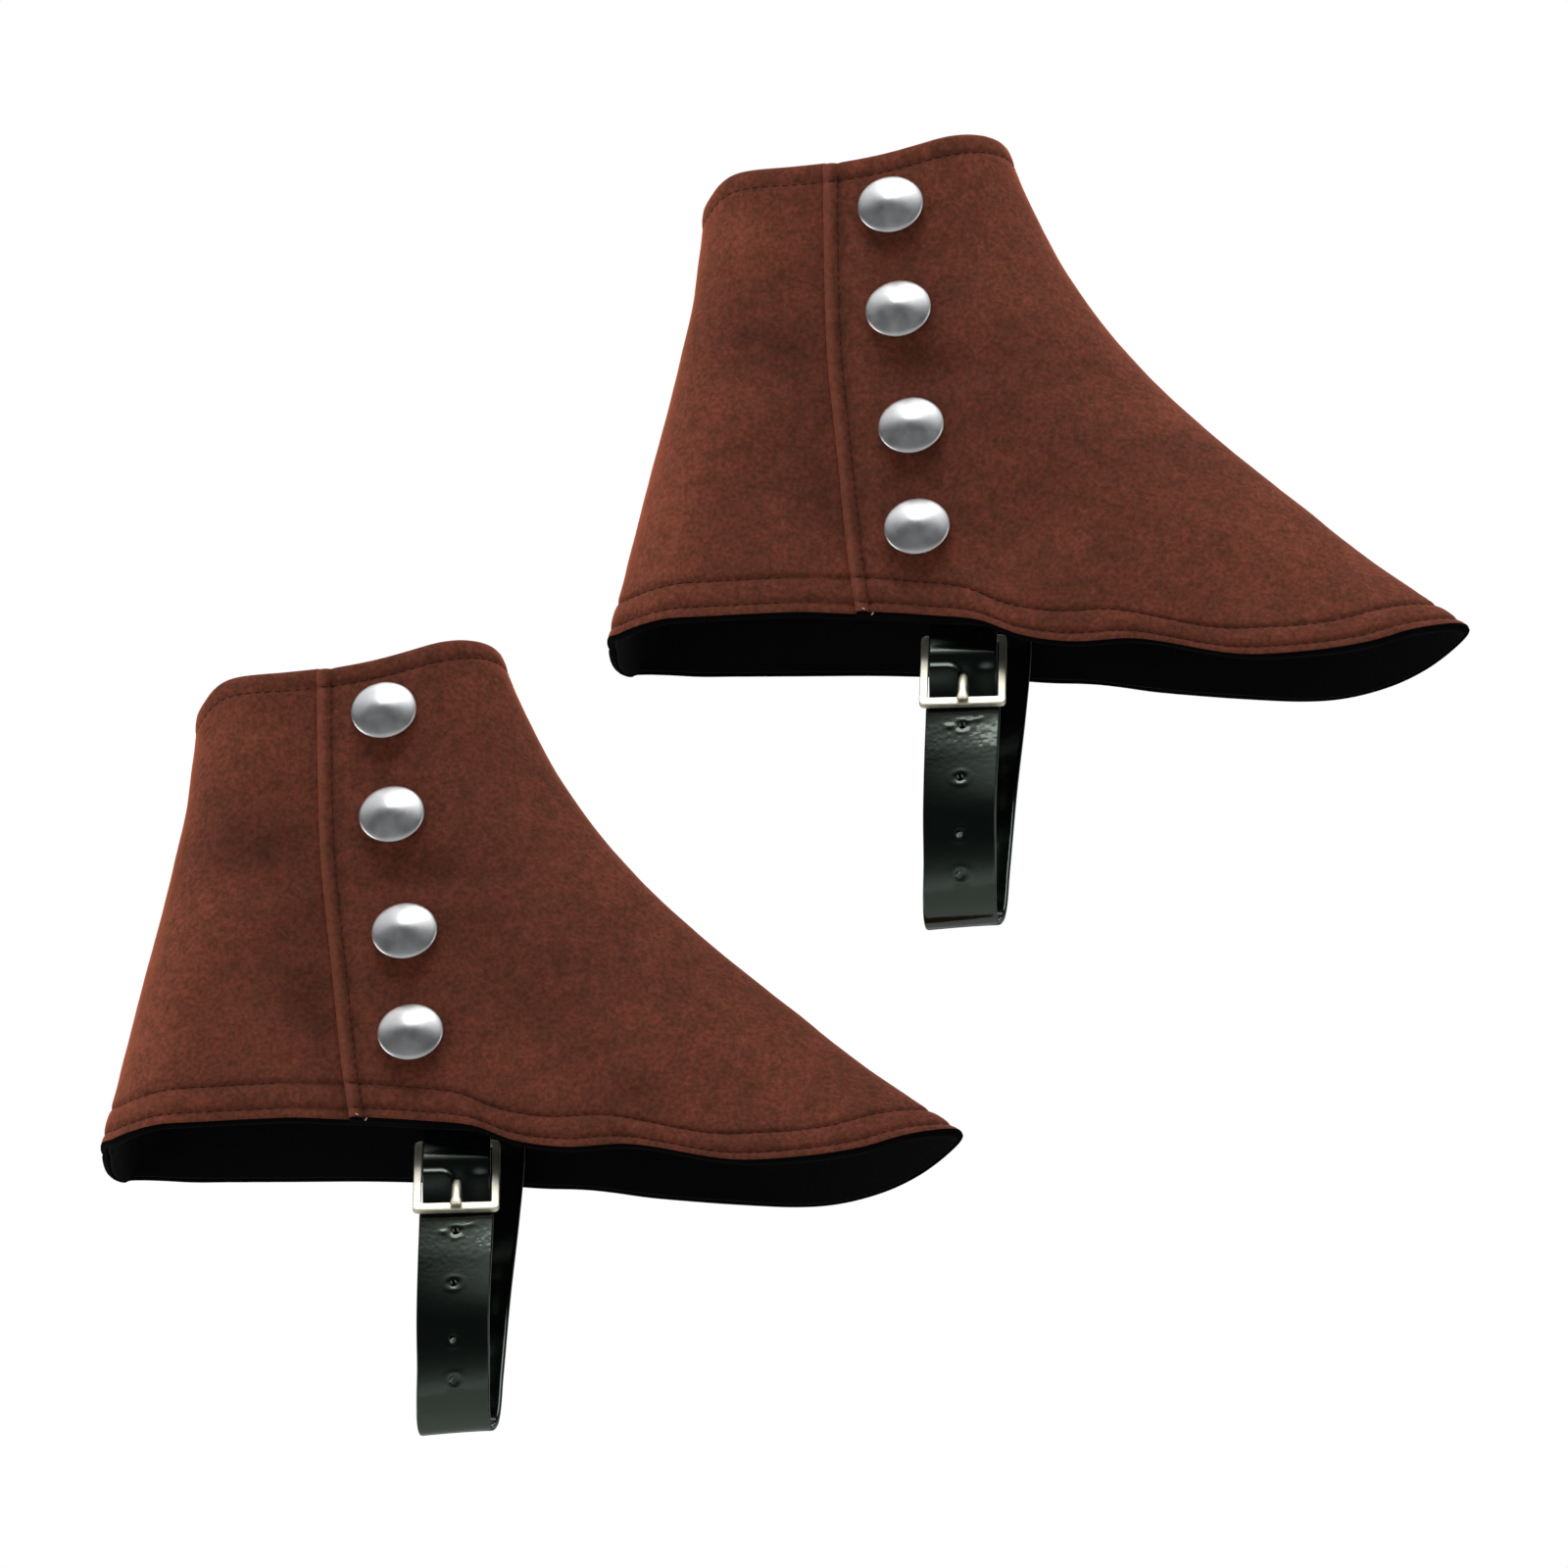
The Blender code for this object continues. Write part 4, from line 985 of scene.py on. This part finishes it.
seam_rows = []
for z in STRAP_SEAM_Z:
    y = seat_y(1, STRAP_SEAM_X, z, STRAP_WIDTH, STRAP_THICK, STRAP_SEAM_YAW)
    seam_rows.append((STRAP_SEAM_X, y, z, STRAP_SEAM_YAW))
centre, lift, strap_out = strip([*STRAP_ROUTE, *seam_rows], STRAP_WIDTH, STRAP_THICK, 0.6, 0.6, strap_width)
near_run = strap_out[:, 1] < 0

# Between the buckle's sides the leather rises where it comes over the top bar, and in a pleat that runs
# in from the left and turns down to the prong's hole. It bulges beside the prong and wrinkles beside the
# first free hole.
RISES = (
    # z, height, how far it falls off above and below
    (-171.5, 0.80, 8, 8),
    (-170.6, 0.70, 2.6, 7.8),
)
PLEAT = (-175.0, 0.80, 1.1, 4.95)
PLEAT_DROP = 2.4
# The coat is crinkled about this height
CRINKLED_Z = -199.0
CRINKLED_REACH = 9.0
BULGES = (
    # z, way off the middle, slant, height, how far it falls off above, below and to the sides
    (-177, 7.2, 0, 1.15, 2.7, 8.1, 3.4),
    (-193.4, 3.8, 0.25, 0.22, 0.8, 0.8, 2.2),
    (-194.6, -3.6, 0, 0.22, 0.8, 0.8, 1.6),
)


def ridge(way, above, below):
    """How high a soft ridge stands at this way above its crest: 1 on it, and less on either side."""
    return np.exp(-(np.maximum(way / above, -way / below) ** 2))


off_middle = centre[..., 0] - STRAP_X
up_strap = centre[..., 2]
z, height, above, below = PLEAT
from_pleat = up_strap - z + PLEAT_DROP * np.clip((off_middle + 4.6) / 4.0, 0.0, 1.0) ** 2
dents = height * ridge(from_pleat, above, below) * (1.0 - ease((off_middle + 1.0) / 1.4))
for z, height, above, below in RISES:
    dents += height * ridge(up_strap - z, above, below)
for z, off, slant, height, above, below, aside in BULGES:
    shape = ridge(up_strap - z - slant * off_middle, above, below)
    dents += height * shape * hump(off_middle, off, aside)
dents -= 0.35 * hump(np.hypot(off_middle, up_strap - PRONG_HOLE_Z), 0.0, 2.6)
for z in HOLES_Z:
    reach = np.hypot(off_middle, up_strap - z)
    dents += 0.16 * hump(reach, 2.3, 0.6) - 0.30 * hump(reach, 0.0, 1.5)
dents *= near_run[:, None]
strap = cloth("strap_patent", centre + lift + strap_out[:, None] * dents[..., None], centre - lift, 1)
crinkles = hump(up_strap, CRINKLED_Z, CRINKLED_REACH) * near_run[:, None]
store(strap, "crinkled", np.concatenate([crinkles.ravel(), np.zeros(crinkles.size)]))
strap.data.materials.append(patent)
strap.data.materials.append(cut_edge)
for polygon in strap.data.polygons:
    inside = sum(i >= crinkles.size for i in polygon.vertices)
    polygon.material_index = 1 if 0 < inside < len(polygon.vertices) else 0


def cut_through(piece, cutter):
    """Cuts the cutter's shape out of the piece."""
    cut = piece.modifiers.new("cut", "BOOLEAN")
    cut.operation = "DIFFERENCE"
    cut.solver = "EXACT"
    cut.object = cutter
    bpy.context.view_layer.objects.active = piece
    bpy.ops.object.modifier_apply(modifier="cut")
    bpy.data.objects.remove(cutter)


near_rows = np.flatnonzero(near_run)
for z in (*HOLES_Z, PRONG_HOLE_Z):
    row = near_rows[np.argmin(np.abs(centre[near_rows, centre.shape[1] // 2, 2] - z))]
    bpy.ops.object.select_all(action="DESELECT")
    radius = PRONG_HOLE_RADIUS if z == PRONG_HOLE_Z else HOLE_RADIUS
    bpy.ops.mesh.primitive_cylinder_add(vertices=24, radius=radius * MM, depth=4 * STRAP_THICK * MM)
    punch = bpy.context.active_object
    turn = Vector(strap_out[row]).to_track_quat("Z", "X").to_matrix().to_4x4()
    punch.data.transform(Matrix.Translation(Vector(centre[row].mean(axis=0)) * MM) @ turn)
    cut_through(strap, punch)
for_both(strap, "patent", "strap")

# Buckle: a cast brass frame with slim rounded bars, thinly nickel plated, so its satin shine stays a
# little warm. It leans, so that the strap comes over its top bar and leaves behind its bottom bar, and
# its prong stands in the strap's first hole.
plated, tree, shader, tarnish = grained_material(
    "nickel_plated_brass", {"Metallic": 1.0}, 420.0, 3.0, "#b9b29c", "#e2dfd2",
)
dull = add(tree, "ShaderNodeMapRange", {
    "Value": tarnish, "From Min": 0.3, "From Max": 0.7, "To Min": 0.42, "To Max": 0.52,
})
tree.links.new(dull.outputs["Result"], shader.inputs["Roughness"])

# The opening's width at its top and bottom, the bars, and how round the outline and the bars' edges are
FRAME_INNER_TOP = 21.4
FRAME_INNER_BOTTOM = 21.8
SIDE_BAR = 2.4
TOP_BAR_TALL = 1.5
BOTTOM_BAR_TALL = 2.8
FRAME_THICK = 2.0
CORNER_ROUND = 1.7
BAR_ROUND = 0.8
# The middles of both bars
TOP_BAR = Vector((0.0, -14.2, -162.9))
BOTTOM_BAR = Vector((0.0, -21.8, -186.9))
yaw_turn = Matrix.Rotation(math.radians(STRAP_YAW), 4, "Z")
on_strap = Matrix.Translation((STRAP_X, STRAP_Y, 0.0)) @ yaw_turn @ Matrix.Translation((0.0, -STRAP_Y, 0.0))
rise = (TOP_BAR - BOTTOM_BAR).normalized()
sideways = Vector((1.0, 0.0, 0.0))
tall = (TOP_BAR - BOTTOM_BAR).length
lean = Matrix((sideways, rise, sideways.cross(rise))).transposed().to_4x4()
frame_place = on_strap @ Matrix.Translation(BOTTOM_BAR) @ lean

bpy.ops.object.select_all(action="DESELECT")
bpy.ops.mesh.primitive_plane_add(size=1.0)
buckle = bpy.context.active_object
buckle.name = "buckle_frame"


def fit_frame(corners, side_bar, top, bottom):
    """Moves four corners to the frame's outline, or to its opening's."""
    for vertex in corners:
        high = vertex.co.y > 0
        wide = (FRAME_INNER_TOP if high else FRAME_INNER_BOTTOM) / 2 + side_bar
        vertex.co = (math.copysign(wide, vertex.co.x), top if high else bottom, -FRAME_THICK / 2)


bpy.ops.object.mode_set(mode="EDIT")
bpy.ops.mesh.select_all(action="SELECT")
bpy.ops.mesh.inset(thickness=0.1, depth=0.0)
bpy.ops.mesh.delete(type="FACE")
bpy.ops.object.mode_set(mode="OBJECT")
inner_corners = [v for v in buckle.data.vertices if abs(v.co.x) < 0.45]
outer_corners = [v for v in buckle.data.vertices if abs(v.co.x) > 0.45]
fit_frame(inner_corners, 0.0, tall - TOP_BAR_TALL / 2, BOTTOM_BAR_TALL / 2)
fit_frame(outer_corners, SIDE_BAR, tall + TOP_BAR_TALL / 2, -BOTTOM_BAR_TALL / 2)
bpy.ops.object.mode_set(mode="EDIT")
bpy.ops.mesh.select_all(action="SELECT")
bpy.ops.mesh.extrude_region_move(TRANSFORM_OT_translate={"value": (0.0, 0.0, FRAME_THICK)})
bpy.ops.mesh.select_all(action="SELECT")
bpy.ops.mesh.normals_make_consistent(inside=False)
bpy.ops.object.mode_set(mode="OBJECT")
weights = buckle.data.attributes.new("bevel_weight_edge", "FLOAT", "EDGE")
for edge in buckle.data.edges:
    low, high = (buckle.data.vertices[i].co for i in edge.vertices)
    if abs(low.z - high.z) > FRAME_THICK / 2:
        outside = abs(low.x) > FRAME_INNER_TOP / 2 + SIDE_BAR / 2
        weights.data[edge.index].value = 1.0 if outside else 0.3
corner = buckle.modifiers.new("corner", "BEVEL")
corner.limit_method = "WEIGHT"
corner.width = CORNER_ROUND
corner.segments = 6
rounded = buckle.modifiers.new("rounded", "BEVEL")
rounded.limit_method = "ANGLE"
rounded.angle_limit = math.radians(50)
rounded.width = BAR_ROUND
rounded.segments = 4
for modifier in ("corner", "rounded"):
    bpy.ops.object.modifier_apply(modifier=modifier)
bpy.ops.object.shade_smooth_by_angle(angle=math.radians(40))
buckle.data.transform(Matrix.Scale(MM, 4) @ frame_place)
buckle.data.materials.append(plated)
for_both(buckle, "buckle", "buckle")

# Prong: a rod of the same metal, rolled round the top bar, bent down through the strap and flattened to
# its tip
# It stands this far off the strap's middle and reaches this far past the middle of the bottom bar
PRONG_X = 0.1
PRONG_PAST = 0.4
PRONG_THICK = 1.5
# y and z of the bends below its eye
PRONG_BENDS = ((-16.3, -172.2), (-20.9, -179.8))
# The eye's wrap in degrees, and the rings of the eye and of the rod
EYE_TURN = 250.0
EYE_STEPS = 16
PRONG_STEPS = 24
# Its width and its thickness, each after the share of its length from the eye to the tip
PRONG_WIDE = ((0.0, 1.5), (0.4, 2.3), (0.52, 2.8), (0.85, 2.9), (0.94, 3.7), (1.0, 3.5))
PRONG_FLAT = ((0.0, 1.5), (0.9, 1.5), (0.97, 1.2), (1.0, 0.6))


def rod(name, points, wide, thick, sides=14):
    """A rounded bar along points in the buckle's plane, with its width and thickness at each point."""
    rings = []
    count = len(points)
    for i, point in enumerate(points):
        tangent = (points[min(i + 1, count - 1)] - points[max(i - 1, 0)]).normalized()
        out = sideways.cross(tangent)
        for k in range(sides):
            turn = math.tau * k / sides
            ring = sideways * wide[i] / 2 * math.cos(turn) + out * thick[i] / 2 * math.sin(turn)
            rings.append(on_strap @ (point + ring + sideways * PRONG_X))
    faces = [tuple(reversed(range(sides))), tuple(range(len(rings) - sides, len(rings)))]
    for i in range(count - 1):
        for k in range(sides):
            m = (k + 1) % sides
            faces.append((i * sides + k, i * sides + m, (i + 1) * sides + m, (i + 1) * sides + k))
    mesh = bpy.data.meshes.new(name)
    mesh.from_pydata([p * MM for p in rings], [], faces)
    made = bpy.data.objects.new(name, mesh)
    bpy.context.scene.collection.objects.link(made)
    bpy.ops.object.select_all(action="DESELECT")
    bpy.context.view_layer.objects.active = made
    made.select_set(True)
    bpy.ops.object.mode_set(mode="EDIT")
    bpy.ops.mesh.select_all(action="SELECT")
    bpy.ops.mesh.normals_make_consistent(inside=False)
    bpy.ops.object.mode_set(mode="OBJECT")
    bpy.ops.object.shade_smooth_by_angle(angle=math.radians(50))
    return made


eye = math.hypot(TOP_BAR_TALL / 2, FRAME_THICK / 2) + GAP / 2 + PRONG_THICK / 2
out_way = Vector((0.0, -rise.z, rise.y))
tip = BOTTOM_BAR + out_way * (FRAME_THICK / 2 + GAP + PRONG_THICK / 2) - rise * PRONG_PAST
route = []
for i in range(EYE_STEPS + 1):
    turn = math.radians(180.0 - EYE_TURN * (1.0 - i / EYE_STEPS))
    route.append(TOP_BAR + Vector((0.0, math.cos(turn), math.sin(turn))) * eye)
stops = [tuple(route[-1]), *[(0.0, *bend) for bend in PRONG_BENDS], tuple(tip)]
bends = np.array([(float(i), *stop) for i, stop in enumerate(stops)])
for t in np.linspace(0.0, len(stops) - 1.0, PRONG_STEPS + 1)[1:]:
    route.append(Vector(curve(bends, np.array(t))))
past_eye = np.linspace(0.0, 1.0, PRONG_STEPS)
wide = [PRONG_THICK] * (EYE_STEPS + 1) + list(np.interp(past_eye, *zip(*PRONG_WIDE)))
thick = [PRONG_THICK] * (EYE_STEPS + 1) + list(np.interp(past_eye, *zip(*PRONG_FLAT)))
prong = rod("prong_rod", route, wide, thick)
prong.data.materials.append(plated)
for_both(prong, "buckle", "prong")

# Tab: a short strip of the same leather, folded round the buckle's top bar with a slot for the prong and
# sewn to the lining behind the hem.
TAB_WIDTH = 18.4
TAB_THICK = 1.4
# Radius of its fold round the bar, the height of its seam, and the slot's width, depth and height
TAB_EYE = 2.3
TAB_SEAM_Z = -135.5
PRONG_SLOT = (3.6, 12.0, 9.0)
bar_y, bar_z = TOP_BAR.y, TOP_BAR.z
seat = seat_y(-1, STRAP_X, TAB_SEAM_Z, TAB_WIDTH, TAB_THICK, STRAP_YAW)
fold = [
    (seat, TAB_SEAM_Z),
    (seat, TAB_SEAM_Z - 4.0),
    (seat + (bar_y - TAB_EYE - seat) * 0.8, TAB_SEAM_Z - 9.0),
    (bar_y - TAB_EYE, bar_z + 14.0),
    (bar_y - TAB_EYE, bar_z + 6.0),
]
for degrees in range(0, 181, 30):
    turn = math.radians(degrees)
    fold.append((bar_y - TAB_EYE * math.cos(turn), bar_z - TAB_EYE * math.sin(turn)))
fold += [(bar_y + TAB_EYE, bar_z + 4.0), (bar_y + TAB_EYE * 0.6, bar_z + 9.0)]
rows = [(*(on_strap @ Vector((0.0, y, z))), STRAP_YAW) for y, z in fold]
centre, lift, out = strip(rows, TAB_WIDTH, TAB_THICK, 0.8, 0.45)
tab = cloth("tab_leather", centre + lift, centre - lift, 1)
store(tab, "crinkled", np.zeros(2 * centre.shape[0] * centre.shape[1]))
tab.data.materials.append(patent)
tab.data.materials.append(cut_edge)
bpy.ops.object.select_all(action="DESELECT")
bpy.ops.mesh.primitive_cube_add(size=1.0)
slot = bpy.context.active_object
slot_place = on_strap @ Vector((PRONG_X, bar_y, bar_z + 0.5))
slot_size = Matrix.Diagonal((*[side * MM for side in PRONG_SLOT], 1.0))
slot.data.transform(Matrix.Translation(slot_place * MM) @ yaw_turn @ slot_size)
cut_through(tab, slot)
for_both(tab, "patent", "tab")
